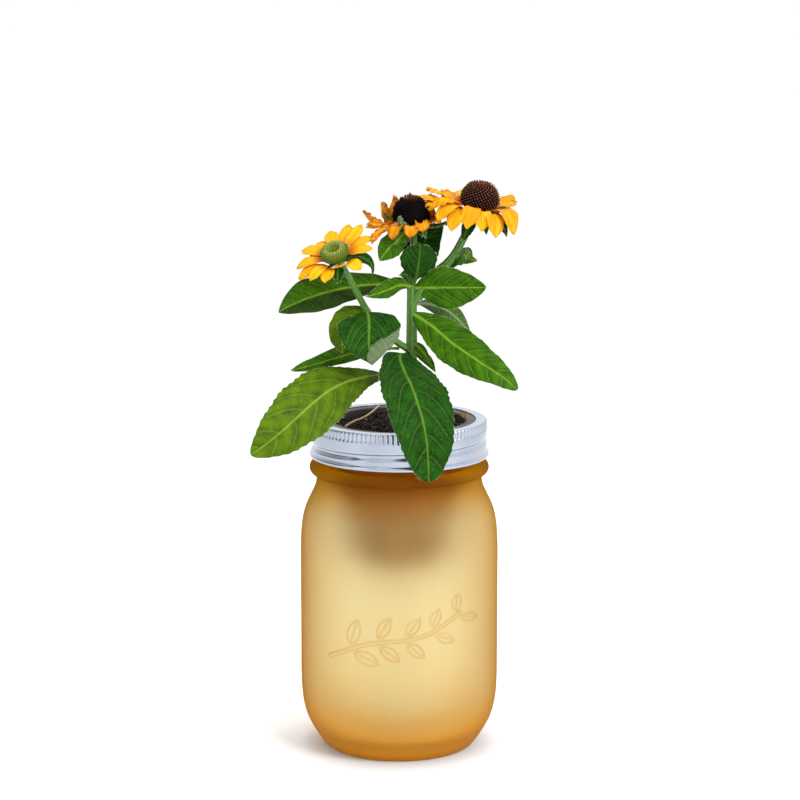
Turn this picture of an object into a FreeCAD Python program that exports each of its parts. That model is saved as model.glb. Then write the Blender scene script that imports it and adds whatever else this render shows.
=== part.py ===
"""Self-watering jar planter: amber jar, screw band, planting cup, wick, potting mix and a flowering plant.

Units are millimetres. The jar stands on z = 0 with its axis on Z, and -Y is the front.
"""
import math
import os

import FreeCAD
import Part

os.makedirs("parts", exist_ok=True)
V = FreeCAD.Vector

# ---------------------------------------------------------------- driving dimensions
# jar
body_r = 48.5
wall = 3.2
foot_in_r = 31.0
foot_out_r = 34.6
push_up = 3.6
floor_z = 8.0
neck_r = 40.5
bore_r = 37.4
bead_z = 140.0
bead_r = 43.9
rim_z = 162.2

# screw thread shared by jar and band
pitch = 6.35
turns = 1.25
thread_start_deg = 45.0
jar_thread_z = 150.9
jar_crest_r = 41.9
thread_gap_z = 2.15

# screw band
band_in_r = 42.3
band_out_r = 42.9
band_crest_r = 41.2
lip_in_r = 37.6
lip_low_z = 163.2
lip_top_z = 163.8
curl_r = 43.9
flute_count = 112
flute_r = 0.8
flute_depth = 0.3

# planting cup
flange_r = 41.5
cup_mouth_r = 32.3
cup_foot_r = 17.8
cup_wall = 1.0
cup_floor_low = 94.0
cup_floor_top = 95.2
slot_count = 8
slot_w = 3.2

# wick and potting mix
wick_w = 26.0
wick_t = 2.0
wick_low_z = 10.0
wick_top_z = 138.0
mix_gap = 0.3
mix_edge_z = 160.6
mix_crown_z = 161.8

# raised sprig on the jar
relief_r = 49.1


# ---------------------------------------------------------------- shared shapes
def spline(points):
    """A smooth edge through the given points."""
    curve = Part.BSplineCurve()
    curve.interpolate(points)
    return curve.toShape()


def line(a, b):
    return Part.LineSegment(a, b).toShape()


def arc(a, m, b):
    return Part.Arc(a, m, b).toShape()


def rz(r, z):
    """A point of a turned profile."""
    return V(r, 0, z)


def turned(edges):
    """Solid of revolution about Z from the edges of a closed profile."""
    face = Part.Face(Part.Wire(Part.__sortEdges__(edges)))
    return face.revolve(V(0, 0, 0), V(0, 0, 1), 360)


def turned_polygon(points):
    corners = [rz(r, z) for r, z in points]
    return turned([line(a, b) for a, b in zip(corners, corners[1:] + corners[:1])])


def thread(root_r, crest_r, root_half, crest_half, z):
    """Trapezoid ridge wound turns times round Z, right hand, starting at thread_start_deg."""
    section = [rz(root_r, -root_half), rz(crest_r, -crest_half)]
    section += [rz(crest_r, crest_half), rz(root_r, root_half)]
    wire = Part.makePolygon(section + section[:1])
    helix = Part.makeHelix(pitch, pitch * turns, max(root_r, crest_r))
    ridge = Part.Wire(helix.Edges).makePipeShell([wire], True, True)
    ridge.rotate(V(0, 0, 0), V(0, 0, 1), thread_start_deg)
    ridge.translate(V(0, 0, z))
    return ridge


def on_path(path, count):
    """Centres and unit tangents at count stations along a smooth path, closer together at its ends."""
    curve = Part.BSplineCurve()
    curve.interpolate([V(*p) for p in path])
    lo, hi = curve.FirstParameter, curve.LastParameter
    out = []
    for i in range(count):
        t = 0.5 - 0.5 * math.cos(math.pi * i / (count - 1))
        u = lo + (hi - lo) * t
        tangent = curve.tangent(u)[0]
        tangent.normalize()
        out.append((t, curve.value(u), tangent))
    return out


def stalk(path, r_start, r_end, count=7):
    """Tapered round stem along a path."""
    rings = []
    for t, centre, tangent in on_path(path, count):
        circle = Part.Circle(centre, tangent, r_start + (r_end - r_start) * t)
        rings.append(Part.Wire(circle.toShape()))
    return Part.makeLoft(rings, True, False)


def blade(rib, side, half, widest=0.42, cup=0.12, thick=0.9, edge=0.5, base=1.0, tip=0.5, count=9,
          swell=1.0, blunt=0.85):
    """Thin closed leaf: rib is its midrib, side points across it, half is its greatest half width.

    side can be one direction or (at base, at tip). cup lifts the edges along the face normal. A smaller
    swell fills out the base, and a smaller blunt rounds the tip.
    """
    if isinstance(side[0], (int, float)):
        side = (side, side)
    first, last = V(*side[0]), V(*side[1])
    wires = []
    for t, centre, tangent in on_path(rib, count):
        across = first * (1 - t) + last * t
        across = across - tangent * across.dot(tangent)
        across.normalize()
        normal = tangent.cross(across)
        if t < widest:
            share = math.sin(math.pi / 2 * t / widest) ** swell
        else:
            share = math.cos(math.pi / 2 * (t - widest) / (1 - widest)) ** blunt
        w = max(half * share, base if t < widest else tip)
        lift = normal * (cup * w)
        left, right = centre - across * w + lift, centre + across * w + lift
        e, m = normal * (edge / 2), normal * (thick / 2)
        top = spline([left + e, centre + m, right + e])
        low = spline([right - e, centre - m, left - e])
        wires.append(Part.Wire([top, line(right + e, right - e), low, line(left - e, left + e)]))
    return Part.makeLoft(wires, True, False)


def frame_of(axis):
    """Unit axis, and two directions square to it: u towards +X, w completing the set."""
    n = V(*axis)
    n.normalize()
    u = V(1, 0, 0) - n * n.x
    u.normalize()
    return n, u, n.cross(u)


def head(profile, centre, axis):
    """Turned flower head: profile is (r, z) points smoothed from the rim to the axis, z = 0 at its base."""
    top = spline([rz(r, z) for r, z in profile])
    r0, z0 = profile[0]
    zc = profile[-1][1]
    under = [line(rz(0, zc), rz(0, 0)), line(rz(0, 0), rz(r0 * 0.75, 0)), line(rz(r0 * 0.75, 0), rz(r0, z0))]
    solid = turned([top] + under)
    solid.Placement = FreeCAD.Placement(V(*centre), FreeCAD.Rotation(V(0, 0, 1), V(*axis)))
    return solid


def petal(centre, axis, azimuth, start, reach, half, rise, drop, layer):
    """One petal: it leaves at radius start, bulges up by rise at mid length, and its tip hangs by drop."""
    n, u, w = frame_of(axis)
    a = math.radians(azimuth)
    out = u * math.cos(a) + w * math.sin(a)
    c = V(*centre) + n * layer
    mid = (start + reach) / 2
    rib = [c + out * start, c + out * mid + n * rise, c + out * reach - n * drop]
    return blade([tuple(p) for p in rib], tuple(n.cross(out)), half, 0.6, 0.1, 0.5, 0.3, 1.0, 0.7, 6)


def minus(shape, *tools):
    """Shape with the tools cut away, keeping the largest piece of each of its solids."""
    kept = []
    for solid in shape.Solids:
        for tool in tools:
            if solid.BoundBox.intersect(tool.BoundBox):
                cut = solid.cut(tool)
                solid = max(cut.Solids, key=lambda s: s.Volume)
        kept.append(solid)
    return kept[0] if len(kept) == 1 else Part.makeCompound(kept)


def petals(centre, axis, start, half, rows, layers=2):
    """Petals in layers, each trimmed by those before it. A row is azimuth, reach, rise, drop."""
    made = []
    for i, (azimuth, reach, rise, drop) in enumerate(rows):
        one = petal(centre, axis, azimuth, start, reach, half, rise, drop, -1.2 * (i % layers))
        made.append(minus(one, *made))
    return Part.makeCompound(made)


nodes = {}

# ---------------------------------------------------------------- jar
# pressed glass: heel and shoulder are smooth curves, walls an even thickness
outer = [
    line(rz(foot_in_r, 0), rz(foot_out_r, 0)),
    spline([rz(foot_out_r, 0), rz(37.2, 1.7), rz(40.0, 5.2), rz(43.2, 10.3), rz(45.9, 16.1), rz(47.4, 22),
            rz(48.2, 29), rz(body_r, 39)]),
    line(rz(body_r, 39), rz(body_r, 99)),
    spline([rz(body_r, 99), rz(48.1, 108.5), rz(47.5, 113.8), rz(46.4, 118.6), rz(44.5, 123.4), rz(42.2, 128.2),
            rz(40.9, 131.6), rz(neck_r, 134.5)]),
    line(rz(neck_r, 134.5), rz(neck_r, bead_z - 3)),
    arc(rz(neck_r, bead_z - 3), rz(bead_r, bead_z), rz(neck_r, bead_z + 3)),
    line(rz(neck_r, bead_z + 3), rz(neck_r, rim_z - 0.9)),
    arc(rz(neck_r, rim_z - 0.9), rz(neck_r - 0.27, rim_z - 0.27), rz(neck_r - 0.9, rim_z)),
]
inner = [
    line(rz(neck_r - 0.9, rim_z), rz(bore_r + 0.8, rim_z)),
    arc(rz(bore_r + 0.8, rim_z), rz(bore_r + 0.23, rim_z - 0.23), rz(bore_r, rim_z - 0.8)),
    line(rz(bore_r, rim_z - 0.8), rz(bore_r, 134)),
    spline([rz(bore_r, 134), rz(38.3, 130), rz(41.0, 123.8), rz(43.2, 117.6), rz(44.5, 110.5),
            rz(body_r - wall, 99)]),
    line(rz(body_r - wall, 99), rz(body_r - wall, 39)),
    spline([rz(body_r - wall, 39), rz(44.6, 26), rz(42.4, 17.4), rz(38.6, 11.4), rz(33.0, 8.2),
            rz(26.0, floor_z - 0.6)]),
    spline([rz(26.0, floor_z - 0.6), rz(13.0, floor_z - 0.15), rz(0, floor_z)]),
    line(rz(0, floor_z), rz(0, push_up)),
    spline([rz(0, push_up), rz(16.0, push_up - 0.8), rz(foot_in_r, 0)]),
]
jar = turned(outer + inner)
jar = jar.fuse(thread(neck_r - 0.4, jar_crest_r, 1.6, 0.6, jar_thread_z))

# leafy sprig in low relief across the front, rising to the right
relief_shell = Part.makeCylinder(relief_r, 60, V(0, 0, 45))
relief_shell = relief_shell.cut(Part.makeCylinder(body_r - 0.4, 60, V(0, 0, 45)))


def raised(wire):
    """The part of the relief shell that lies behind a closed outline drawn in front of the jar."""
    return Part.Face(wire).extrude(V(0, 55, 0)).common(relief_shell)


def front(x, z):
    return V(x, -55, z)


sprig = [(-33, 54), (-12, 63), (10, 66), (34, 80)]
sprig_curve = Part.BSplineCurve()
sprig_curve.interpolate([front(x, z) for x, z in sprig])
twig_up = spline([front(x, z + 0.9) for x, z in sprig])
twig_low = spline([front(x, z - 0.9) for x, z in sprig])
twig = Part.Wire([
    twig_up,
    line(front(34, 80.9), front(34, 79.1)),
    twig_low,
    line(front(-33, 53.1), front(-33, 54.9)),
])
raised_parts = [raised(twig)]
leaf_pairs = 5
for i in range(leaf_pairs):
    u = (i + 0.8) / (leaf_pairs + 0.35)
    span = sprig_curve.LastParameter - sprig_curve.FirstParameter
    at = sprig_curve.value(sprig_curve.FirstParameter + span * u)
    along = sprig_curve.tangent(sprig_curve.FirstParameter + span * u)[0]
    heading = math.atan2(along.z, along.x)
    size = 15.0 - 1.2 * i
    for turn in (48, -48):
        a = heading + math.radians(turn)
        d = V(math.cos(a), 0, math.sin(a))
        s = V(-math.sin(a), 0, math.cos(a))
        root = at + d * 1.6
        end = at + d * (1.6 + size)
        belly = (root + end) * 0.5
        half = size * 0.24
        outline = [arc(root, belly + s * half, end), arc(end, belly - s * half, root)]
        raised_parts.append(raised(Part.Wire(outline)))
for piece in raised_parts:
    jar = jar.fuse(piece)
nodes["glass_jar"] = jar

# ---------------------------------------------------------------- screw band
# rolled thin metal: flat lip, fluted corner, thread groove rolled inwards, curl round the bottom edge
ring = turned([
    line(rz(lip_in_r, lip_low_z), rz(lip_in_r, lip_top_z)),
    line(rz(lip_in_r, lip_top_z), rz(band_out_r - 1.0, lip_top_z)),
    arc(rz(band_out_r - 1.0, lip_top_z), rz(band_out_r - 0.29, lip_top_z - 0.29),
        rz(band_out_r, lip_top_z - 1.0)),
    line(rz(band_out_r, lip_top_z - 1.0), rz(band_out_r, 148.2)),
    arc(rz(band_out_r, 148.2), rz(43.0, 147.9), rz(43.2, 147.8)),
    arc(rz(43.2, 147.8), rz(curl_r, 146.7), rz(43.2, 145.6)),
    arc(rz(43.2, 145.6), rz(42.6, 145.7), rz(band_in_r, 146.2)),
    line(rz(band_in_r, 146.2), rz(band_in_r, 160.0)),
    line(rz(band_in_r, 160.0), rz(41.75, 160.6)),
    line(rz(41.75, 160.6), rz(41.3, 161.2)),
    line(rz(41.3, 161.2), rz(41.3, 161.7)),
    line(rz(41.3, 161.7), rz(band_in_r, 162.1)),
    line(rz(band_in_r, 162.1), rz(band_in_r, 162.5)),
    line(rz(band_in_r, 162.5), rz(41.7, lip_low_z)),
    line(rz(41.7, lip_low_z), rz(lip_in_r, lip_low_z)),
])
band_thread_z = jar_thread_z - thread_gap_z
ring = ring.fuse(thread(band_in_r + 0.3, band_crest_r, 1.7, 0.6, band_thread_z))
ring = ring.cut(thread(band_out_r + 0.4, band_crest_r + 0.6, 1.9, 0.5, band_thread_z))
flutes = []
for i in range(flute_count):
    flute = Part.makeCylinder(flute_r, 6, V(band_out_r + flute_r - flute_depth, 0, 159.2))
    flute.rotate(V(0, 0, 0), V(0, 0, 1), 360.0 * i / flute_count)
    flutes.append(flute)
nodes["screw_band"] = ring.cut(Part.makeCompound(flutes))

# ---------------------------------------------------------------- planting cup
# moulded cup: its flange rests on the jar rim and is held under the band's lip
slope = (cup_mouth_r - cup_foot_r) / (rim_z - cup_floor_top)
cup = turned_polygon([
    (0, cup_floor_low),
    (cup_foot_r + cup_wall, cup_floor_low),
    (cup_mouth_r + cup_wall, rim_z - 1.2),
    (cup_mouth_r + cup_wall + 1.2, rim_z),
    (flange_r - 0.3, rim_z),
    (flange_r, rim_z + 0.3),
    (flange_r, lip_low_z - 0.3),
    (flange_r - 0.3, lip_low_z),
    (cup_mouth_r + 0.6, lip_low_z),
    (cup_mouth_r, lip_low_z - 0.6),
    (cup_mouth_r, rim_z),
    (cup_foot_r, cup_floor_top),
    (0, cup_floor_top),
])
cuts = []
for i in range(slot_count):
    slot = Part.makeBox(14, slot_w, 16, V(14, -slot_w / 2, 100))
    slot.rotate(V(0, 0, 0), V(0, 0, 1), 360.0 * (i + 0.5) / slot_count)
    cuts.append(slot)
cuts.append(Part.makeBox(wick_w + 0.8, wick_t + 0.8, 4, V(-wick_w / 2 - 0.4, -wick_t / 2 - 0.4, 92)))
for x, y in ((-8, 9), (0, 13), (8, 9), (-8, -9), (0, -13), (8, -9)):
    cuts.append(Part.makeCylinder(2.0, 4, V(x, y, 92)))
nodes["net_cup"] = cup.cut(Part.makeCompound(cuts))

# ---------------------------------------------------------------- wick, roots and potting mix
wick = Part.makeBox(wick_w, wick_t, wick_top_z - wick_low_z, V(-wick_w / 2, -wick_t / 2, wick_low_z))
nodes["wick"] = wick

main_stem = stalk([(3, 2, 152), (4.8, 1, 172), (6, 0, 195), (6.2, 0, 212), (6.2, 0, 230)], 3.2, 2.3, 9)
nodes["main_stem"] = main_stem

root_ends = [
    ((3, 2, 155), (10, 7, 142), (16, 10, 124)),
    ((3, 2, 155), (-6, 7, 143), (-13, 9, 126)),
    ((3, 2, 155), (9, -7, 143), (13, -12, 121)),
    ((3, 2, 155), (-5, -6, 144), (-11, -11, 123)),
    ((3, 2, 155), (3, 12, 138), (2, 14, 112)),
]
roots = stalk(root_ends[0], 1.2, 0.4, 5)
for way in root_ends[1:]:
    roots = roots.fuse(stalk(way, 1.2, 0.4, 5))
nodes["roots"] = minus(roots, main_stem)

mix = turned([
    line(rz(0, cup_floor_top), rz(cup_foot_r - mix_gap, cup_floor_top)),
    line(rz(cup_foot_r - mix_gap, cup_floor_top), rz(cup_mouth_r - 0.35 - mix_gap, mix_edge_z)),
    spline([rz(cup_mouth_r - 0.35 - mix_gap, mix_edge_z), rz(17, mix_crown_z - 0.2), rz(0, mix_crown_z)]),
    line(rz(0, mix_crown_z), rz(0, cup_floor_top)),
])
nodes["potting_mix"] = mix.cut(wick).cut(main_stem).cut(roots)
straw = stalk([(-26, -16, 162.9), (-19, 2, 163.2), (-13, 18, 163.7), (-9.5, 31, 164.9)], 0.7, 0.5, 6)
nodes["dry_straw"] = minus(straw, nodes["potting_mix"])
nodes["wood_chip"] = blade([(29.5, 9, 164.2), (31.4, 3, 164.5), (32.4, -4, 164.1)], (0.9, 0.3, 0.2), 2.2,
                           thick=1.2, edge=0.8, base=1.0, tip=0.9, count=6)

# ---------------------------------------------------------------- stalks
left_stalk = stalk([(4, 0, 197), (-5, -3, 205), (-15, -6, 217), (-21, -9, 228.5), (-28.6, -12.6, 243.4)],
                   1.7, 1.4)
middle_stalk = stalk([(6.2, 0, 230), (7.2, 0.6, 245), (6.4, 1, 258)], 1.9, 1.6)
right_stalk = stalk([(6.2, 0, 219), (10.4, -1, 227), (15, -0.8, 233.5), (24, 0.5, 241), (30, 1, 250),
                     (35.8, 1, 262)], 2.1, 1.8, 9)
nodes["left_flower_stalk"] = minus(left_stalk, main_stem)
nodes["middle_flower_stalk"] = minus(middle_stalk, main_stem)
nodes["right_flower_stalk"] = minus(right_stalk, main_stem, middle_stalk)
stems = [main_stem, left_stalk, middle_stalk, right_stalk]

# ---------------------------------------------------------------- leaves
# each is a midrib, the direction across it and a half width
leaves = {
    "lower_left_leaf": blade(
        [(2, -1, 184), (-7, -4, 186.5), (-14, -10, 187.2), (-23, -17, 186.3), (-36, -31, 182), (-46, -42, 175),
         (-58, -50, 165), (-70.5, -53, 155.5)],
        ((0.6, -0.6, -0.5), (0.72, 0.15, -0.68)), 15.2, 0.62, 0.06, base=1.3, count=13, swell=1.35, blunt=0.62),
    "front_leaf": blade(
        [(3.5, -1, 196.5), (0.5, -6, 197), (1, -16, 192.8), (5, -31, 187.2), (8.6, -42.5, 179.6),
         (11.7, -48.5, 170), (13.6, -50.5, 158), (14.2, -50, 142.6)],
        ((0.9, 0.5, 0), (1, 0.1, 0)), 17.0, 0.5, 0.08, base=1.6, count=13, swell=0.75, blunt=0.5),
    "right_leaf": blade(
        [(6, -1, 216), (16, -8, 210.5), (24.5, -16, 204.5), (33.5, -24, 199.3), (43.5, -31, 193.7),
         (52, -35, 188.5), (57.2, -36, 183.8)],
        (-0.35, -0.5, -0.75), 10.4, 0.45, 0.08, base=1.2, count=13, swell=0.6, blunt=0.6),
    "upper_right_leaf": blade(
        [(7, -1, 228.5), (14, -3, 229), (28, -9, 230), (42, -12, 230.4)],
        (0, -0.25, 1), 11.6, 0.45, 0.08, base=1.0, swell=0.75, blunt=0.7),
    "left_long_leaf": blade(
        [(4.8, 0, 229), (-7, 2, 229.8), (-24, 1, 228.5), (-38, -3, 225.6), (-49.5, -6, 221.5),
         (-58.5, -6, 216.5)],
        ((0, 0.5, 0.85), (0.1, 0.55, 0.85)), 9.6, 0.7, -0.22, base=1.2, count=11, blunt=0.7),
    "left_mid_leaf": blade(
        [(6, -1.5, 229), (0.5, -6, 230.6), (-4.5, -11, 229.4), (-10, -15, 227.8), (-16, -18, 226)],
        (0, -0.3, 0.95), 5.6, 0.45, 0.10, base=0.9),
    "heart_leaf": blade(
        [(-15.5, -9.5, 218), (-14.5, -17, 214.5), (-14.5, -24, 206), (-13.5, -30, 194.5)],
        (1, 0, 0), 16.0, 0.42, 0.12, base=1.6, tip=1.0, swell=0.8),
    "heart_back_leaf": blade(
        [(-14, -4, 219), (-22, -7, 213), (-28, -10, 205), (-28, -12, 198)],
        (-0.75, 0.2, 0.6), 10.0, 0.45, 0.10, base=1.0),
    "small_left_leaf": blade(
        [(0, 1, 198.5), (-14, -2, 198.6), (-24, -5, 197), (-38, -9, 193), (-52.5, -12, 189)],
        (0.1, -0.3, 0.95), 5.6, 0.6, 0.12, base=0.9),
    "crown_leaf": blade(
        [(8, 2, 233), (9, 5, 243), (14, 8, 252), (22, 10, 258)], (0.85, 0, -0.5), 9.5, 0.5, 0.10),
    "crown_front_leaf": blade(
        [(7.6, -3.2, 232), (8.6, -7.5, 237.5), (9.6, -10, 244), (10.2, -10.5, 252)],
        (1, 0.15, 0), 10.0, 0.62, 0.12, base=1.0, blunt=0.6),
    "grey_back_leaf": blade(
        [(8, 2, 221), (20, 7, 218), (28, 11, 212), (35, 14, 204)], (0.4, 0.5, 0.8), 5.5, 0.5, 0.1),
}
for name, shape in leaves.items():
    nodes[name] = minus(shape, *stems)
nodes["crown_front_leaf"] = minus(nodes["crown_front_leaf"], nodes["upper_right_leaf"])

nodes["crown_bracts"] = minus(Part.makeCompound([
    blade([(5, -2.6, 231), (3, -7, 236), (0, -11, 236)], (0.3, 0.2, 0.9), 2.6, base=0.7, count=6),
    blade([(7.6, -2.6, 232), (9.5, -6, 237), (10.5, -8, 241)], (0.9, 0.3, -0.3), 2.4, base=0.7, count=6),
]), *stems, nodes["crown_front_leaf"], nodes["left_mid_leaf"], nodes["upper_right_leaf"])

# small shoot with a flower bud behind the right flower's stalk
bud = head([(2.6, 0.8), (3.0, 2.4), (2.0, 4.4), (0, 5.2)], (30.5, 5.5, 243), (0.5, -0.1, 0.86))
shoot_stem = stalk([(9.5, 3.2, 222), (20, 6, 234), (30.5, 5.5, 243)], 1.2, 0.9, 5)
shoot_leaves = [
    blade([(26, 4.0, 239), (29, 0, 242), (31, -3, 246)], (0.9, 0.2, -0.3), 2.8, base=0.7, count=6),
    blade([(28, 6.5, 241), (33, 7, 242), (38, 8, 241)], (0.1, 0.3, 0.9), 2.4, base=0.7, count=6),
    blade([(24, 5.0, 237), (22, 1, 239), (21, -2, 242)], (0.9, 0.2, 0.3), 2.4, base=0.7, count=6),
]
shoot_solids = [minus(shoot_stem, *stems), minus(bud, shoot_stem)]
shoot_solids += [minus(s, shoot_stem, bud, *stems) for s in shoot_leaves]
nodes["grey_back_leaf"] = minus(nodes["grey_back_leaf"], shoot_stem)
nodes["bud_shoot"] = Part.makeCompound(shoot_solids)

nodes["stem_leaflets"] = minus(Part.makeCompound([
    blade([(6, -1, 203), (11, -4, 199), (15, -6, 193)], (0.7, 0.2, 0.7), 2.4, base=0.8, count=6),
    blade([(6, 1, 198), (13, -1, 194.5), (18, -5, 188)], (0.7, 0.3, 0.65), 2.6, base=0.8, count=6),
    blade([(3, -1.5, 180), (-4, -5, 182), (-8.5, -8, 181), (-7.5, -8.5, 176)], (0.8, -0.3, 0.3), 1.8, base=0.8,
          count=6),
]), *stems, nodes["lower_left_leaf"])

# ---------------------------------------------------------------- left flower
left_c = (-30.3, -13.6, 245.2)
left_axis = (-0.25, -0.5, 0.83)
disc = head([(6.8, 1.6), (7.5, 3.2), (6.6, 5.4), (4.2, 6.3), (2.6, 5.6), (0, 5.0)], left_c, left_axis)
nodes["left_flower_disc"] = minus(disc, left_stalk)
nodes["left_flower_petals"] = minus(petals(left_c, left_axis, 6.6, 3.5, [
    (150, 20, 1.5, 0), (168, 16, 0.5, 1), (185, 20, 1.5, 1), (206, 21, 1.5, 1), (228, 19, 1.5, 0),
    (251, 17.5, 1.5, 0), (284, 11, 1, -2), (318, 16, 1.5, 1), (2, 18, 1.5, 0), (32, 21, 1.5, 0),
    (55, 23, 1, -2), (74, 23, 1, -2), (99, 20, 1, -1), (124, 17, 1, -1),
]), disc, left_stalk)
nodes["left_flower_bracts"] = minus(Part.makeCompound([
    blade([(-30, -14, 243), (-35, -17, 240), (-38, -19, 234)], (0.7, 0.2, 0.5), 3.4, base=0.8, count=7),
    blade([(-28.5, -14.5, 242), (-29, -18, 239), (-29, -20, 233)], (1, 0, 0), 2.8, base=0.8, count=7),
    blade([(-27, -12.5, 243), (-19, -10, 245), (-13, -9, 241), (-12, -9, 236)], (0.3, 0.6, 0.75), 3.2, 0.35,
          base=0.8, count=7),
    blade([(-30, -11, 244.5), (-37, -7, 246), (-43, -5, 245)], (0.1, 0.8, 0.4), 3.0, base=0.8, count=7),
]), left_stalk, disc, *nodes["left_flower_petals"].Solids)

# ---------------------------------------------------------------- middle flower, past its best
mid_c = (6.3, 1, 258.6)
mid_axis = (-0.05, -0.08, 1)
mid_cone = head([(8.2, 1.2), (10.0, 4.6), (9.5, 9.0), (6.8, 13.2), (3.3, 15.2), (0, 15.8)], mid_c, mid_axis)
nodes["middle_flower_cone"] = minus(mid_cone, middle_stalk)
nodes["middle_flower_petals"] = minus(petals((6.3, 1, 260.2), mid_axis, 9.0, 3.2, [
    (150, 16, -2, -9), (172, 24, 0, -7), (193, 23, -1, 0), (214, 24, -1, 6), (238, 17, 0, 6), (268, 15, 1, 4),
    (292, 14, 1, 3), (322, 18, 2, -2), (345, 20, 2, -4), (8, 18, 2, -3), (52, 16, -2, -11), (90, 16, -2, -13),
    (122, 16, -2, -11),
]), mid_cone, nodes["crown_leaf"])
nodes["middle_flower_leaves"] = minus(Part.makeCompound([
    blade([(6, -1, 254), (-1, -5, 252), (-10, -7, 242)], (0.7, -0.2, -0.6), 6.0, 0.6, base=0.9),
    blade([(5.5, -2, 258), (2, -7, 256), (-2.5, -9.5, 250.5)], (0.6, -0.1, -0.7), 3.6, 0.5, base=0.8, count=7),
]), *stems, mid_cone, nodes["crown_front_leaf"], *nodes["middle_flower_petals"].Solids)
nodes["middle_flower_bracts"] = minus(Part.makeCompound([
    blade([(4, -2, 258), (0, -8, 260), (-1, -11, 265)], (0.95, -0.2, 0.1), 2.2, base=0.8, count=6),
    blade([(8, -2, 258), (10, -8, 257), (12, -12, 254)], (0.9, 0.3, 0.3), 2.4, base=0.8, count=6),
    blade([(9, 2, 258), (17, 3, 258), (24, 3, 260)], (0, 1, 0.2), 2.6, base=0.8, count=6),
    blade([(3.5, 3, 258), (-4, 7, 259), (-9, 9, 264)], (0.3, 0.9, 0.2), 2.4, base=0.8, count=6),
]), middle_stalk, mid_cone, *nodes["middle_flower_petals"].Solids, nodes["crown_leaf"],
    *nodes["middle_flower_leaves"].Solids)

# ---------------------------------------------------------------- right flower, in full bloom
right_c = (38.3, 0.5, 267.0)
right_axis = (0.14, -0.12, 0.98)
right_cone = head([(8.6, 1.0), (10.1, 4.0), (9.6, 8.0), (7.2, 11.8), (3.6, 13.6), (1.8, 13.2), (0, 12.4)],
                  right_c, right_axis)
nodes["right_flower_cone"] = minus(right_cone, right_stalk)
nodes["right_flower_petals"] = minus(petals((38.3, 0.5, 268.8), right_axis, 9.2, 4.2, [
    (150, 30, 1, -1), (166, 33, 0, 1), (182, 28, 1, 2), (199, 25, 2, 4), (217, 24, 2, 6), (236, 22, 2, 8),
    (256, 20, 2, 8), (275, 20, 2, 7), (294, 22, 2, 8), (314, 25, 2, 8), (336, 21, 2, 4), (0, 19, 2, 0),
    (20, 20, 1, -3), (42, 23, 1, -5), (66, 22, 1, -3), (90, 22, 1, -2), (112, 24, 1, -2), (132, 27, 1, -3),
], 3), right_cone, nodes["middle_flower_cone"])
nodes["right_flower_bracts"] = minus(Part.makeCompound([
    blade([(35, 1.5, 266), (27, 4, 265.5), (18.5, 5, 264.5)], (0, 0.8, 0.6), 3.2, base=0.8, count=6),
    blade([(34.5, 0, 265.5), (28, -3, 263.5), (22, -6, 260)], (0.3, 0.7, 0.5), 2.8, base=0.8, count=6),
    blade([(36, -2, 264.5), (33, -6, 259), (30.5, -8, 252)], (0.9, 0.2, -0.3), 3.4, base=0.8, count=6),
    blade([(39, -2, 265.5), (41, -8, 262), (42, -10, 255.5)], (1, 0, 0.1), 2.6, base=0.8, count=6),
    blade([(42, -1, 266), (49, -5, 261), (52, -7, 254)], (0.8, 0.4, 0.4), 2.8, base=0.8, count=6),
    blade([(43, 1, 266.5), (51, 0, 267), (57, -1, 264)], (0, 1, 0.1), 2.2, base=0.8, count=6),
]), right_stalk, right_cone, *nodes["right_flower_petals"].Solids)

# ---------------------------------------------------------------- export
for name, shape in nodes.items():
    shape.exportStep("parts/" + name + ".step")
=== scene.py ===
# Self-watering jar planter with a flowering plant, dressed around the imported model.
import math

import bmesh
import bpy
import numpy as np
from mathutils import Euler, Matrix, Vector


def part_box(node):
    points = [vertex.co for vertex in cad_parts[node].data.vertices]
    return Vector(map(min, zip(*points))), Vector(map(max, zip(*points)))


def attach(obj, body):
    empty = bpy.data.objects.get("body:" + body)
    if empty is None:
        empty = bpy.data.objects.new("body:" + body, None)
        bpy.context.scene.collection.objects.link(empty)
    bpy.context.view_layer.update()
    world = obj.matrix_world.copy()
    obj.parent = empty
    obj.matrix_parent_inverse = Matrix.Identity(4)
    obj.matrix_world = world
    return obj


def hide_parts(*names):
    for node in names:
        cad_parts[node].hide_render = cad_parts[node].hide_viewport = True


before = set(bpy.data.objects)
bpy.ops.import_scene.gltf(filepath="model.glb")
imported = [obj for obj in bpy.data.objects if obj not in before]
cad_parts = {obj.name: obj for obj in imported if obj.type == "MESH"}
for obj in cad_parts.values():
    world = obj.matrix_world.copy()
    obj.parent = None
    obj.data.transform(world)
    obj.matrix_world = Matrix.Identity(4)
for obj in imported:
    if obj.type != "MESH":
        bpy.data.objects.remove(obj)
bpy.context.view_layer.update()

mm = 0.001
dice = np.random.default_rng(12)

# ---------------------------------------------------------------------------------------------
# Studio
# A white painted floor in a white room with a few soft boxes. The light is even from all round,
# which is what makes frosted glass glow, and leaves a soft shade where the foot meets the floor, deepened
# there by painted shade.
scene = bpy.context.scene
scene.view_settings.view_transform = "Standard"
scene.view_settings.look = "None"


def srgb(code):
    """Linear RGBA from an sRGB hex string."""
    parts = [int(code[i:i + 2], 16) / 255 for i in (1, 3, 5)]
    return tuple(c / 12.92 if c <= 0.04045 else ((c + 0.055) / 1.055) ** 2.4 for c in parts) + (1.0,)


def add(tree, kind, inputs=None, **settings):
    """Adds a node, sets its properties, and fills or links its inputs."""
    made = tree.nodes.new(kind)
    for key, value in settings.items():
        setattr(made, key, value)
    for key, value in (inputs or {}).items():
        if isinstance(value, bpy.types.NodeSocket):
            tree.links.new(value, made.inputs[key])
        else:
            made.inputs[key].default_value = value
    return made


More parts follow.
